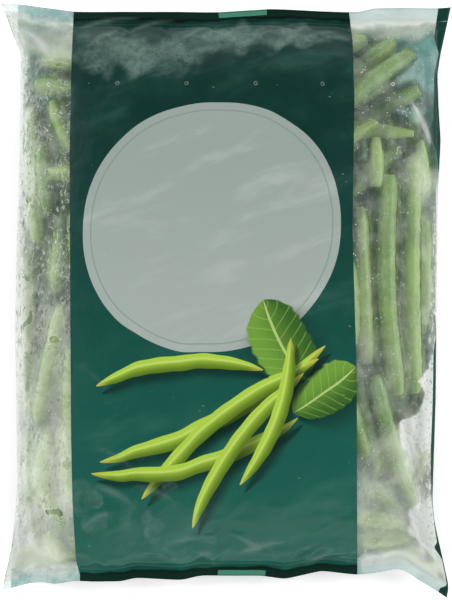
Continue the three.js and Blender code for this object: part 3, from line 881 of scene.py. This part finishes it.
def add_motifs(draw, art, across, along):
    """Prints leaves and pods, each over its own soft shadow."""
    for number, (x, y, turn, length, width, bow) in enumerate(LEAVES + PODS):
        sizes = {"Across": across, "Along": along, "Turn": math.radians(turn), "Length": length,
                 "Width": width, "Bow": bow}
        shade = use_group(draw, MOTIF, Centre_Across=x + PRINT_SHADOW[0], Centre_Along=y + PRINT_SHADOW[1],
                          Soft=0.8, **sizes)
        art = draw.blend(shade["Mask"] * 0.7, art, colour(12, 28, 24))
        motif = use_group(draw, MOTIF, Centre_Across=x, Centre_Along=y, Soft=0.06, **sizes)
        lit = draw.ease(motif["Side"], -0.95, 0.8)
        if number < len(LEAVES):
            tone = draw.blend(lit, colour(50, 90, 34), colour(104, 146, 56))
            veins = draw.sine(motif["Place"] * 26 + abs(motif["Side"]) * -9)
            tone = draw.blend(draw.ease(veins, 0.86, 1, 0, 0.4), tone, colour(140, 172, 90))
            rib = abs(motif["Side"]) < 0.05
            tone = draw.blend(rib, tone, colour(160, 186, 110))
        else:
            tone = draw.blend(lit, colour(84, 112, 30), colour(160, 192, 66))
            glint = draw.ease(abs(motif["Side"] - 0.3), 0.3, 0.0)
            tone = draw.blend(glint * 0.55, tone, colour(196, 218, 120))
            ends = draw.ease(abs(motif["Place"]), 0.8, 0.98)
            tone = draw.blend(ends * 0.7, tone, colour(176, 170, 70))
        art = draw.blend(motif["Mask"], art, tone)
    return art


def front_art(draw, across, along, metres, edge, scuff_and_sheen):
    """The front print: dark green, deeper towards the top, with a pale round panel and pods."""
    streaks = draw.clouds(draw.stretch(draw.turn(metres, -0.35), (0.3, 1, 1)), 60, 4, 0.6, 0.4)
    streaks = draw.ease(streaks, 0.5, 0.76)
    ink = draw.blend(draw.ease(along, 235, 15), colour(11, 46, 41), colour(24, 86, 74))
    mottle = draw.clouds(metres, 40, 3, 0.55)
    ink = draw.blend(draw.ease(mottle, 0.45, 0.75, 0, 0.22), ink, colour(42, 90, 80))
    ink = draw.blend(streaks * 0.16, ink, colour(84, 132, 122))
    panel_x = (across - PANEL_CENTRE[0]) / PANEL_REACH[0]
    panel_y = (along - PANEL_CENTRE[1]) / PANEL_REACH[1]
    reach = abs(panel_x) ** PANEL_ROUNDNESS + abs(panel_y) ** PANEL_ROUNDNESS
    weave = draw.sine((across + along) * RIBS)
    pale = draw.blend(draw.ease(weave, -1, 1), colour(136, 147, 141), colour(146, 157, 151))
    pale = draw.blend(draw.ease(along, 210, 115, 0.0, 0.4), pale, colour(166, 176, 170))
    pale = draw.blend(streaks * 0.5, pale, colour(178, 188, 182))
    rule = draw.between(reach, 0.86, 0.88)
    pale = draw.blend(rule * 0.5, pale, colour(96, 122, 110))
    art = draw.blend(reach < 1.0, ink, pale)
    art = add_motifs(draw, art, across, along)
    scratches = draw.cells(draw.stretch(draw.turn(metres, 0.3), (0.45, 1.3, 1)), 380)
    scratch_size = draw.ease(draw.clouds(metres, 60, 3, 0.6), 0.5, 0.7, 0, 0.12)
    art = draw.blend((scratches < scratch_size) * 0.35, art, colour(150, 176, 168))
    cloudy = draw.clouds(draw.stretch(draw.turn(metres, -0.4), (0.7, 1.2, 1)), 110, 6, 0.68, 0.7)
    where = draw.clouds(metres, 60, 2)
    sizes = draw.ease(where, 0.46, 0.7, 0.04, 0.3)
    bubbles = draw.cells(metres, 330) < sizes
    # Pale wear over the print, partly painted sheen, from the scuff and blister patches
    wear_and_sheen = scuff_and_sheen + (cloudy - 0.5) * 1.1
    wear_and_sheen = draw.ease(wear_and_sheen, 0.1, 0.95, 0, 0.62) * draw.ease(scuff_and_sheen, 0.0, 0.3)
    wear_and_sheen = wear_and_sheen * draw.ease(draw.clouds(metres, 330, 5, 0.65), 0.34, 0.62, 0.62, 1.12)
    wear_and_sheen = wear_and_sheen * (1.0 - bubbles * 0.5)
    art = draw.blend(wear_and_sheen, art, colour(106, 130, 122))
    wander = draw.clouds(metres, 70, 2) * 3.4
    welded = edge < 1.6 + wander
    # A painted shadow line along the print just past the darker weld strip
    past_weld = edge - (1.9 + wander)
    dark = abs(past_weld) < 0.6
    art = draw.blend(welded, art, colour(14, 42, 33))
    art = draw.blend(dark * 0.8, art, colour(8, 20, 16))
    eye = draw.between(across, 99, 121) * (edge < 2.6)
    return draw.blend(eye, art, colour(74, 136, 112))


def back_art(draw, across, along):
    """The back print: plain dark green with a pale block on each side of the back weld."""
    block = draw.between(across, *BACK_BLOCKS) * draw.between(along, *BACK_BLOCK_ENDS)
    art = draw.blend(block, colour(18, 56, 48), colour(142, 153, 147))
    weld = draw.between(across, *BACK_WELD)
    crimps = draw.ease(draw.sine(along * RIBS), -1, 1, 0.5, 0.8)
    return draw.blend(weld * crimps, art, colour(10, 34, 28))


def needle_vents(draw, at, ragged, vents):
    hole, rim = 0.0, 0.0
    for centre_across, centre_along in vents:
        vent = use_group(draw, VENT, Centre_Across=centre_across, Centre_Along=centre_along,
                         Ragged=ragged, **at)
        hole = draw.most(hole, vent["Hole"])
        rim = draw.most(rim, vent["Rim"])
    return hole, rim


def bean_end_rings(draw, at, metres, rings):
    line, inside = 0.0, 0.0
    for centre_across, centre_along, radius in rings:
        ring = use_group(draw, RING, Centre_Across=centre_across, Centre_Along=centre_along,
                         Radius=radius, Ragged=draw.clouds(metres, 400, 2), **at)
        line = draw.most(line, ring["Line"])
        inside = draw.most(inside, ring["Inside"])
    return line, inside


def printed_film(draw, across, along, metres, mark, hole, rim):
    """Where the film is printed, and the print's colour from outside and, paler, from inside."""
    on_band = mark["band"] > 0.0
    on_wrap = mark["wrap"] > 0.0
    back = back_art(draw, across, along)
    front = front_art(draw, across, along, metres, mark["edge"], mark["scuff_and_sheen"])
    art = draw.blend(on_band, back, front)
    shine = draw.most(mark["fold"] * 0.45, rim * 0.5)
    art = draw.blend(shine, art, colour(126, 146, 138))
    # Vent holes painted dark as the shade inside them
    art = draw.blend(hole, art, colour(6, 12, 10))
    facing = draw.wire(draw.add("ShaderNodeNewGeometry"), "Backfacing")
    inside = facing * (across > FLAT_WIDTH)
    mottle = draw.clouds(metres, 60, 3, 0.5)
    lining = draw.blend(mottle, colour(106, 162, 158), colour(134, 188, 183))
    return draw.most(on_band, on_wrap), draw.blend(inside, art, lining)


def film_fog(draw, metres, mark, in_weld, pits, wet):
    """A dull blurred picture of the beans under white haze, painted dark as shade where the gap below the
    film is deep, both thinner where the film is wet.
    """
    haze, glow = mark["haze"], mark["glow"]
    breath = draw.clouds(metres, 95, 4, 0.62)
    near_weld = draw.ease(mark["edge"], 13, 5)
    lined = draw.ease(glow, 0.0, -1.0)
    clearing = 1.0 - wet * 0.75
    # The haze covers more over deep gaps, where its colour is painted shade
    blurred = draw.ease(mark["gap"], 0.3, 3.0, 0.14, 0.32) + haze * 0.6
    blurred = (blurred + lined * 0.3) * clearing * (1.0 - in_weld)
    milky = haze + draw.ease(breath, 0.3, 0.72, -0.05, 0.14)
    milky = milky + mark["frost"] * 0.3
    milky = milky + near_weld * draw.ease(breath, 0.3, 0.6, 0.22, 0.55)
    milky = milky + in_weld * draw.ease(breath, 0.35, 0.6, 0.0, 0.2)
    milky = draw.most(draw.least(milky, 0.8), 0.0)
    milky = milky * (1.0 - pits * 0.8) * clearing * (1.0 - in_weld * 0.28)
    milky = milky + haze * in_weld * 0.35
    fog = milky + blurred * (1.0 - milky)
    whiteness = milky / draw.most(fog, 0.02)
    # Painted shade in the deep gaps between beans, the beans' green where one lies close under the film,
    # teal over the lining
    gap_shade_image = draw.blend(draw.ease(glow, 0.0, 1.0), colour(84, 104, 94), colour(168, 196, 130))
    gap_shade_image = draw.blend(lined, gap_shade_image, colour(132, 172, 168))
    breath_colour = draw.blend(near_weld, colour(212, 219, 203), colour(214, 223, 218))
    fog_colour = draw.blend(whiteness, gap_shade_image, breath_colour)
    return fog, draw.blend(in_weld, fog_colour, colour(212, 228, 225))


def white_marks(draw, metres, mark, crumple, crumbs, press, rim, ring_highlight):
    """Frost, ice dots, a net of fine lines painted as glints on crinkles, fold lines that are partly
    whitened film and partly painted highlight, the rims of wet spots and vents, and rings painted as
    highlights.
    """
    frost = use_group(draw, FROST, Vector=metres, Amount=mark["frost"], Specks=1.0)
    # A net of fine painted glints where the crumpled film crinkles
    facets = draw.cells(draw.swirl(metres, 150, 0.006), 120, "DISTANCE_TO_EDGE")
    some = draw.ease(draw.clouds(metres, 70, 2, 0.5), 0.46, 0.6)
    line = draw.ease(facets, 0.045, 0.0) * some * (crumple * 0.5)
    outline = draw.ease(abs(press - 0.4), 0.07, 0.0) * 0.7
    dot_size = draw.ease(draw.clouds(metres, 100, 3, 0.6), 0.4, 0.62, 0.0, 0.16)
    dots = draw.cells(metres, 560) < dot_size * draw.ease(mark["gap"], 0.5, 1.8)
    white = draw.most(frost["Mask"] * 0.86, frost["Specks"])
    white = draw.most(white, dots * 0.8)
    white = draw.most(white, draw.most(line, crumbs * 0.62))
    # Fold lines are whitened film with a painted highlight along them
    white = draw.most(white, draw.most(mark["fold"] * 0.75, rim))
    return draw.most(white, draw.most(outline, ring_highlight * 0.85))


def film_height(draw, metres, along, mark, printed, crumple, in_weld):
    """Crinkles, slow ripples and the crimp of the welds."""
    crinkle = draw.clouds(draw.stretch(metres, (1, 0.6, 1)), 260, 4, 0.62, 0.6)
    ripple = draw.clouds(metres, 60, 3, 0.5, 0.4)
    crimp = draw.sine(along * RIBS)
    rough = 0.16 + (1.0 - printed) * (0.5 + crumple * 0.4)
    rough = rough + draw.ease(mark["edge"], 36, 8, 0.0, 0.15)
    return crinkle * (rough + mark["frost"]) + ripple * 0.7 + crimp * in_weld * 0.04


def film_material(vents, rings):
    """The film: clear and frosted at the sides, printed in the middle and on the back."""
    material, draw, shader = new_material("printed_film")
    flat = draw.wire(draw.add("ShaderNodeUVMap", uv_map="film"), "UV")
    across, along = (share * SHEET_WIDTH for share in draw.split(flat)[:2])
    at = {"Across": across, "Along": along}
    metres = draw.stretch(flat, (SHEET_WIDTH * MM,) * 3)
    mark = {name: draw.mark(name) for name in FILM_MARKS}
    ragged = draw.clouds(metres, 900, 2, 0.6)
    hole, rim = needle_vents(draw, at, ragged, vents)
    ring_highlight, ring_inside = bean_end_rings(draw, at, metres, rings)
    printed, art = printed_film(draw, across, along, metres, mark, hole, rim)

    # Where the film is welded, crumpled, or wet from a bean that it touches
    wander = draw.clouds(metres, 60, 2) * 3.0
    in_weld = draw.ease(mark["edge"], 2.6 + wander, 2.0 + wander)
    crumple = mark["crumple"] * draw.ease(draw.clouds(metres, 75, 3, 0.6), 0.36, 0.6, 0.35, 1.3)
    fine = draw.clouds(draw.stretch(draw.turn(metres, 0.15), (1.25, 0.75, 1)), 560, 4, 0.62, 0.8)
    pits = draw.math("MULTIPLY", draw.ease(fine, 0.55, 0.61), crumple, clamp=True)
    crumbs = draw.math("MULTIPLY", draw.ease(fine, 0.44, 0.38), crumple, clamp=True)
    press = mark["pressed"] * draw.ease(mark["glow"], 0.3, 0.6) + (ragged - 0.5) * 0.8
    touch = draw.ease(mark["gap"], 1.2, 0.4) * draw.ease(draw.clouds(metres, 120, 2), 0.56, 0.62)
    wet = draw.most(touch * crumple, draw.ease(press, 0.45, 0.55))
    wet = draw.most(wet, ring_inside * draw.ease(mark["glow"], 0.3, 0.6))

    fog, fog_colour = film_fog(draw, metres, mark, in_weld, pits, wet)
    white = white_marks(draw, metres, mark, crumple, crumbs, press, rim, ring_highlight) * (1.0 - in_weld)
    cover = draw.math("MAXIMUM", fog, white, clamp=True)
    clear = draw.blend(white, fog_colour, colour(210, 215, 211))
    # Vent holes painted dark as the shade inside them
    clear = draw.blend(hole, clear, colour(30, 42, 36))
    gloss = CLEAR_GLOSS - printed * (CLEAR_GLOSS - PRINT_GLOSS)
    draw.feed(shader.inputs["Base Color"], draw.blend(printed, clear, art))
    draw.feed(shader.inputs["Alpha"], draw.most(cover, printed))
    draw.feed(shader.inputs["Roughness"], 0.3 + white * 0.35)
    draw.feed(shader.inputs["Specular IOR Level"], gloss)
    draw.bump(shader, film_height(draw, metres, along, mark, printed, crumple, in_weld), 0.5, 1.0 * MM)
    return material


# Making of the beans

def front_and_back(x, y):
    """Height of the plain bag's front and back over a place."""
    v = np.clip((y - (top_end(x) + bottom_end(x)) / 2) / HALF_LENGTH, -1, 1)
    full = fullness_along(v)
    swell = fullness_across(x, y) * full
    fold = WELD_HEIGHT + (FOLD_HEIGHT - WELD_HEIGHT) * full
    return fold + (CROWN_HEIGHT - FOLD_HEIGHT) * swell, np.maximum(0, fold - UNDERSIDE_SAG * swell)


def deep_routes(tree):
    """Routes for more beans where a gap shows through a window, each as high as the others leave room."""
    random = np.random.default_rng(DEEP_SEED)
    share = np.linspace(-1, 1, 9)
    routes = []
    for side in (-1, 1):
        kept = 0
        for _ in range(DEEP_TRIES):
            radius = random.uniform(*DEEP_RADIUS)
            half_length = random.uniform(*DEEP_HALF_LENGTH)
            turn = random.normal(0, DEEP_LEAN)
            bow = random.normal(0, DEEP_BOW) * (1 - share ** 2)
            middle = side * random.uniform(*WINDOW_REACH)
            x = middle + half_length * share * math.sin(turn) + bow * math.cos(turn)
            y = random.uniform(-WINDOW_END, WINDOW_END) + half_length * share * math.cos(turn)
            room = [(*front_and_back(x + aside * radius, y), tall * radius) for aside, tall in BEAN_RIM]
            top = np.min([front - tall for front, back, tall in room], axis=0)
            lowest = np.max([back + tall for front, back, tall in room], axis=0) + 1
            too_wide = np.abs(x).max() > WIDEST_PLACE
            if kept == MOST_DEEP_BEANS_A_SIDE or too_wide or (top - LEAST_ROOM < lowest).any():
                continue
            highest = np.convolve(np.pad(top, 2, mode="edge"), np.ones(5) / 5, mode="valid")
            highest = np.minimum(highest - FRONT_ROOM, top - LEAST_FRONT_ROOM)
            for drop in range(DEEPEST_DROP):
                route = np.stack([x, y, np.maximum(highest - drop, lowest)], 1)
                if all(tree.find_nearest(Vector(point))[3] > radius - FROZEN_BITE for point in route):
                    break
            else:
                continue
            away = [np.linalg.norm(route[:, None] - other[None], axis=2).min() - reach
                    for other, reach in routes]
            seen = [tree.ray_cast(Vector(point), Vector((0, 0, 1)))[0] is None for point in route]
            if min(away, default=99) > radius - FROZEN_BITE and sum(seen) >= LEAST_PLACES_SEEN:
                routes.append((route, radius))
                kept += 1
    return routes


def finish_bean(piece, skin):
    piece.data.materials.append(skin)
    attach(piece, "root")


def make_beans():
    tones = [(colour(124, 154, 90), colour(86, 120, 66)), (colour(136, 162, 98), colour(96, 128, 72)),
             (colour(114, 146, 92), colour(78, 112, 68)), (colour(142, 164, 104), colour(102, 132, 76))]
    skins = [bean_material(f"bean_skin_{i}", *pair, True) for i, pair in enumerate(tones, 1)]
    clump_skins = [bean_material(f"clump_skin_{i}", *pair, False) for i, pair in enumerate(tones, 1)]
    master = straight_bean()
    pieces = []
    for number, node in enumerate(sorted(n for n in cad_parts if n.startswith("bean_"))):
        if node.startswith("bean_clump"):
            piece = freeze_clump(node)
            finish_bean(piece, clump_skins[number % len(clump_skins)])
        else:
            piece = bean_from_node(node + "_pod", master, node, number)
            finish_bean(piece, skins[number % len(skins)])
        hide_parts(node)
        pieces.append(piece)
    for number, (route, radius) in enumerate(deep_routes(bean_tree(pieces))):
        name = f"deep_bean_{number + 1:02d}"
        seed = DEEP_FIRST_SEED + number
        piece = bend_bean(name, master, route * MM, radius * MM, DEEP_TIP_SHARE, seed)
        finish_bean(piece, skins[number % len(skins)])
        pieces.append(piece)
    bpy.data.objects.remove(master)
    return pieces


def bean_tree(pieces):
    vertices = []
    faces = []
    for piece in pieces:
        start = len(vertices)
        vertices.extend(v.co / MM for v in piece.data.vertices)
        faces.extend([start + i for i in face.vertices] for face in piece.data.polygons)
    return BVHTree.FromPolygons(vertices, faces)


# Making of the film

def as_seen(places):
    """Places as the camera sees them, on the plane it frames."""
    shrink = CAMERA_DISTANCE / (CAMERA_DISTANCE + FRAMED_HEIGHT - places[:, :, 2])
    return places[:, :, 0] * shrink, places[:, :, 1] * shrink


def crease_heights(x, y):
    height = np.zeros_like(x)
    for start, end, half_width, rise in CREASES:
        run = np.array(end, dtype=float) - start
        length = np.linalg.norm(run)
        way = run / length
        along = (x - start[0]) * way[0] + (y - start[1]) * way[1]
        aside = (x - start[0]) * -way[1] + (y - start[1]) * way[0]
        aside = aside - 0.06 * length * np.sin(math.pi * np.clip(along / length, 0, 1))
        fade = np.sin(math.pi * np.clip(along / length, 0, 1)) ** 0.6
        height += rise * fade * np.exp(-np.abs(aside) / half_width)
    return height


def pucker_heights(across, from_bottom, from_top):
    """Gathers that run from each weld into the bag and die away."""
    height = 0
    for depth, seed, strength in ((from_bottom, 37, 1.3), (from_top, 91, 1.2)):
        away = np.clip(depth, 0, None)[:, None]
        fade = np.minimum(away / 5, 1) * np.exp(-away / 14) * (depth[:, None] > 0)
        spread = 1 + away / 120
        folds = 1 - 2.4 * np.abs(drift(across[None, :] / spread, away + 0 * across[None, :], 8, seed))
        height = height + strength * fade * folds
    return height


def crinkle_heights(s, t, band):
    """Small wrinkles all over: sharp in the clear windows, long and faint over the print."""
    window = smooth_step(-band, -2, 8)
    sharp = 1 - 2.2 * np.abs(drift(s + 0.4 * t, t - 0.5 * s, 9, 12)) ** 0.7
    fine = 1 - 2.2 * np.abs(drift(s - 0.7 * t, t + 0.4 * s, 4.5, 13)) ** 0.8
    broad = drift(s + 0.5 * t, 0.6 * t - 0.4 * s, 34, 14) + 0.5 * drift(s, t, 19, 15)
    return window * (0.42 * sharp + 0.2 * fine) + (1 - window) * (0.55 * broad + 0.05 * sharp)


def film_reach(rings, normals, tree):
    """How far each point of the film could sink before it meets a bean."""
    shape = rings.shape[:2]
    reach = np.full(shape, float(LONGEST_LOOK))
    for j in range(WELD_ROWS, shape[0] - WELD_ROWS):
        for i in range(shape[1]):
            start = rings[j, i] + normals[j, i] * OUTSIDE_LOOK
            hit = tree.ray_cast(Vector(start), Vector(-normals[j, i]), LONGEST_LOOK + OUTSIDE_LOOK)
            if hit[0] is not None:
                reach[j, i] = hit[3] - OUTSIDE_LOOK
    return reach


def front_to_back(values):
    """Spreads values of the front columns over the back ones that lie under them."""
    return np.concatenate([values, values[:, ::-1][:, 2:-1:2]], axis=1)


def thickness_of(rings):
    """Height of the bag's inside under each point of the film."""
    front_z = rings[:, :FRONT_COLUMNS + 1, 2]
    back_z = np.concatenate([rings[:, FRONT_COLUMNS:, 2], rings[:, :1, 2]], axis=1)[:, ::-1]
    spots = np.arange(FRONT_COLUMNS + 1) / 2
    under = np.stack([np.interp(spots, np.arange(BACK_COLUMNS + 1), row) for row in back_z])
    return front_to_back(front_z - under)


def hold_welds(move):
    """Keeps the welds, and the row beside each, where they are."""
    move[:WELD_ROWS + 1] = 0
    move[-WELD_ROWS - 1:] = 0


def cling_film(rings, reach, band, thickness):
    """Lets the film sink between the beans until it bridges them, as a stretched skin does."""
    deepest = BAND_SAG + (WINDOW_SAG - BAND_SAG) * smooth_step(-band, 0.5, 13)
    deepest[:, FRONT_COLUMNS + 1:] = SIDE_SAG
    deepest = np.minimum(deepest, thickness * SAG_SHARE)
    deepest[rings[:, :, 2] < RESTING_HEIGHT] = 0
    hold_welds(deepest)
    limit = np.clip(np.minimum(reach - FILM_CLEARANCE, deepest), 0, None)
    sink = np.zeros(rings.shape[:2])
    for _ in range(CLING_ROUNDS):
        sink = np.minimum(limit, neighbour_mean(sink) + CLING)
    return sink


def print_edges(x, y, s):
    """Distance inside the front band and inside the back print, in millimetres."""
    front = s <= FLAT_WIDTH
    band = np.minimum(x - read_line(BAND_LEFT, y), read_line(BAND_RIGHT, y) - x)
    band = np.where(front, band, BAND_ON_BACK)
    seen_fold = x[:, FRONT_COLUMNS:FRONT_COLUMNS + 1]
    strip = read_line(WRAP_WIDTH, y)
    left = x - read_line(BACK_PRINT_LEFT, y)
    wrap = np.where(front, strip - (seen_fold - x), np.minimum(left, s - FLAT_WIDTH + strip))
    return band, wrap


def frost_amount(x, y, s):
    """Frost that has grown on the film along the folds and in a few places, and a white rim along the left
    fold that is partly frost and partly painted glare.
    """
    left = read_line(LEFT_FROST, y) * (1 + 0.5 * drift(s, y, 6, 21)) - (x - left_side(y))
    right = read_line(RIGHT_FROST, y) * (1 + 0.25 * drift(s, y, 5, 22)) - (right_side(y) - x)
    strength = read_line(RIGHT_FROST_STRENGTH, y)
    frost = np.maximum(0.5 * smooth_step(left, -4, 4), strength * smooth_step(right, -1.4, 1.4))
    # A white rim right along the left fold: partly frost, partly painted glare where the film turns away
    frost = np.maximum(frost, 0.75 * (1 - smooth_step(x - left_side(y), 1, 8)))
    frost = np.where(s <= FLAT_WIDTH, frost, 0)
    return np.clip(frost + paint(x, y, FROST_PATCHES) * (s <= FLAT_WIDTH), 0, 1)


def film_faces(rows, count):
    faces = []
    for j in range(rows - 1):
        for i in range(count):
            k = (i + 1) % count
            faces.append((j * count + i, j * count + k, (j + 1) * count + k, (j + 1) * count + i))
    for j, flip in ((0, False), (rows - 1, True)):
        for k in range(BACK_COLUMNS):
            a, b, c = (j * count + 2 * k + n for n in range(3))
            d = j * count + (count - k) % count
            e = j * count + count - k - 1
            trio = [t for t in ((a, d, b), (b, d, e), (b, e, c)) if len(set(t)) == 3]
            faces.extend(t if flip else t[::-1] for t in trio)
    return faces


def add_flat_map(mesh, s, t):
    """Lays the film's own flat measures on the mesh, so that the print follows every wrinkle."""
    flat_map = mesh.uv_layers.new(name="film")
    loops = np.empty(len(mesh.loops), dtype=int)
    mesh.loops.foreach_get("vertex_index", loops)
    totals = np.empty(len(mesh.polygons), dtype=int)
    mesh.polygons.foreach_get("loop_total", totals)
    face_of = np.repeat(np.arange(len(totals)), totals)
    across = np.tile(s, len(t))[loops]
    highest = np.zeros(len(totals))
    np.maximum.at(highest, face_of, across)
    closing = (across == 0) & (highest[face_of] > 1.5 * FLAT_WIDTH)
    across = np.where(closing, SHEET_WIDTH, across)
    uv = np.stack([across, np.repeat(t, len(s))[loops]], 1) / SHEET_WIDTH
    flat_map.data.foreach_set("uv", uv.ravel())


def flat_place(x, y, s, t, target):
    """Where on the flat film a place seen from above lies."""
    near = np.hypot(x - target[0], y - target[1])[:, :FRONT_COLUMNS + 1]
    row, column = np.unravel_index(near.argmin(), near.shape)
    return s[column], t[row]


def film_lift(rings, s, t, band):
    """How far creases, gathers and small wrinkles stand out of the film."""
    x, y = as_seen(rings)
    lift = crease_heights(x, y) * (s[None, :] <= FLAT_WIDTH)
    lift = lift + pucker_heights(s, t - WELD_WIDTH, t[-1] - WELD_WIDTH - t)
    from_end = np.minimum(t, t[-1] - t)[:, None] - WELD_WIDTH
    lift = lift + crinkle_heights(s[None, :], t[:, None], band) * np.clip(from_end / 8, 0, 1)
    from_fold = np.minimum(s % FLAT_WIDTH, FLAT_WIDTH - s % FLAT_WIDTH)
    lift = lift * smooth_step(from_fold, 0, 7)[None, :]
    lift[rings[:, :, 2] < RESTING_HEIGHT] = 0
    return lift


def weld_waves(s, t):
    """Waves in the loose edge of each weld."""
    front_s = s[:FRONT_COLUMNS + 1]
    waves = front_to_back((np.sin(front_s / 9) + 0.6 * np.sin(front_s / 4.1 + 1))[None, :])
    loose = 1 - np.minimum(np.arange(len(t)), np.arange(len(t))[::-1])[:, None] / (WELD_ROWS + 1)
    return WELD_WAVE * np.clip(loose, 0, 1) * waves


def paint_film(film, places, s, t, gap, thickness):
    """Writes the values named in FILM_MARKS on the film and gives it its material."""
    x, y = as_seen(places)
    front = s[None, :] <= FLAT_WIDTH
    band, wrap = print_edges(x, y, s[None, :])
    # Glow of beans close under the film; where it is low, the haze is painted dark as shade
    glow = 1 - smooth_step(gap, 0.6, 3.5)
    for _ in range(GLOW_ROUNDS):
        glow = neighbour_mean(glow)
    glow = np.maximum(glow, paint(x, y, GREEN_PATCHES))
    glow = glow - paint(x, y, LINING_PATCHES) * (1 - glow)
    crumple = front * read_line(CRUMPLED, y) * (1 - 0.7 * smooth_step(x, -55, -40))
    marks = {
        "gap": np.clip(np.minimum(gap, thickness - MOST_GAP), 0, MOST_GAP),
        "frost": frost_amount(x, y, s[None, :]),
        "haze": paint(x, y, HAZE_PATCHES),
        "scuff_and_sheen": np.clip(paint(x, y, SCUFFS_AND_SHEEN) + paint(x, y, BLISTERS_AND_SHEEN, 0.75, 1.1), 0, 1),
        "fold": np.clip(crease_heights(x, y) - 0.25, 0, 1) * front,
        "band": band,
        "wrap": wrap,
        "edge": np.repeat(np.minimum(t, t[-1] - t)[:, None], len(s), 1),
        "glow": glow,
        "crumple": crumple,
        "pressed": paint(x, y, WET_PATCHES) * front,
    }
    for name in FILM_MARKS:
        mark = film.data.attributes.new(name, "FLOAT", "POINT")
        mark.data.foreach_set("value", np.asarray(marks[name]).ravel())
    vents = [flat_place(x, y, s, t, (vent, VENT_ROW)) for vent in VENTS]
    rings = [(*flat_place(x, y, s, t, place), radius) for place, radius in RINGS]
    film.data.materials.append(film_material(vents, rings))


def make_film(tree):
    rings, t = bag_rings()
    normals = ring_normals(rings)
    s = np.concatenate([np.linspace(0, FLAT_WIDTH, FRONT_COLUMNS + 1),
                        np.linspace(FLAT_WIDTH, SHEET_WIDTH, BACK_COLUMNS + 1)[1:-1]])
    band, _ = print_edges(*as_seen(rings), s[None, :])
    reach = film_reach(rings, normals, tree)
    thickness = thickness_of(rings)
    sink = cling_film(rings, reach, band, thickness)
    lift = film_lift(rings, s, t, band)
    move = np.minimum(sink - lift, np.clip(thickness * SAG_SHARE, 0, None))
    move = np.minimum(move, reach - FILM_CLEARANCE)
    hold_welds(move)
    places = rings - normals * move[:, :, None]
    places[:, :, 2] = np.maximum(places[:, :, 2], 0)
    places[:, :, 2] += weld_waves(s, t)

    points = (places.reshape(-1, 3) * MM).tolist()
    film = new_object("bag_film_skin", points, film_faces(len(t), len(s)))
    add_flat_map(film.data, s, t)
    paint_film(film, places, s, t, reach - move, thickness)
    film.data.polygons.foreach_set("use_smooth", [True] * len(film.data.polygons))
    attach(film, "root")
    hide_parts("bag_film")


# The room

FLOOR_GLOW = 0.35


def make_camera():
    data = bpy.data.cameras.new("camera")
    data.lens = LENS
    data.sensor_width = SENSOR
    data.clip_end = 10
    camera = bpy.data.objects.new("camera", data)
    camera.location = (0, 0, (CAMERA_DISTANCE + FRAMED_HEIGHT) * MM)
    bpy.context.scene.collection.objects.link(camera)
    bpy.context.scene.camera = camera


def make_light(name, place, size, power):
    data = bpy.data.lights.new(name, "AREA")
    data.shape = "SQUARE"
    data.size = size
    data.energy = power
    lamp = bpy.data.objects.new(name, data)
    lamp.location = place
    lamp.rotation_euler = (-Vector(place)).to_track_quat("-Z", "Y").to_euler()
    bpy.context.scene.collection.objects.link(lamp)


def make_room():
    """White room, dimmer straight above, so that flat film doesn't mirror a bright ceiling."""
    scene = bpy.context.scene
    scene.view_settings.view_transform = "Standard"
    world = bpy.data.worlds.new("room")
    world.use_nodes = True
    draw = Nodes(world.node_tree)
    way = draw.split(draw.wire(draw.add("ShaderNodeTexCoord"), "Generated"))
    glow = draw.ease(way[2], 0.3, 0.85, 1.4, 0.12)
    sky = world.node_tree.nodes["Background"]
    sky.inputs["Color"].default_value = (1, 1, 1, 1)
    draw.feed(sky.inputs["Strength"], glow)
    scene.world = world
    make_light("left_softbox", (-1.3, 0.5, 0.9), 0.8, 14)
    make_light("right_softbox", (1.3, 0.2, 0.9), 0.8, 13)
    make_light("foot_softbox", (0.1, -1.4, 0.9), 0.8, 5)
    floor = new_object("floor", [(-4, -4, 0), (4, -4, 0), (4, 4, 0), (-4, 4, 0)], [(0, 1, 2, 3)])
    material, draw, shader = new_material("pale_floor")
    shader.inputs["Base Color"].default_value = (0.92, 0.92, 0.92, 1)
    shader.inputs["Roughness"].default_value = 0.9
    shader.inputs["Emission Color"].default_value = (1, 1, 1, 1)
    shader.inputs["Emission Strength"].default_value = FLOOR_GLOW
    floor.data.materials.append(material)


make_camera()
make_room()
beans = make_beans()
make_film(bean_tree(beans))
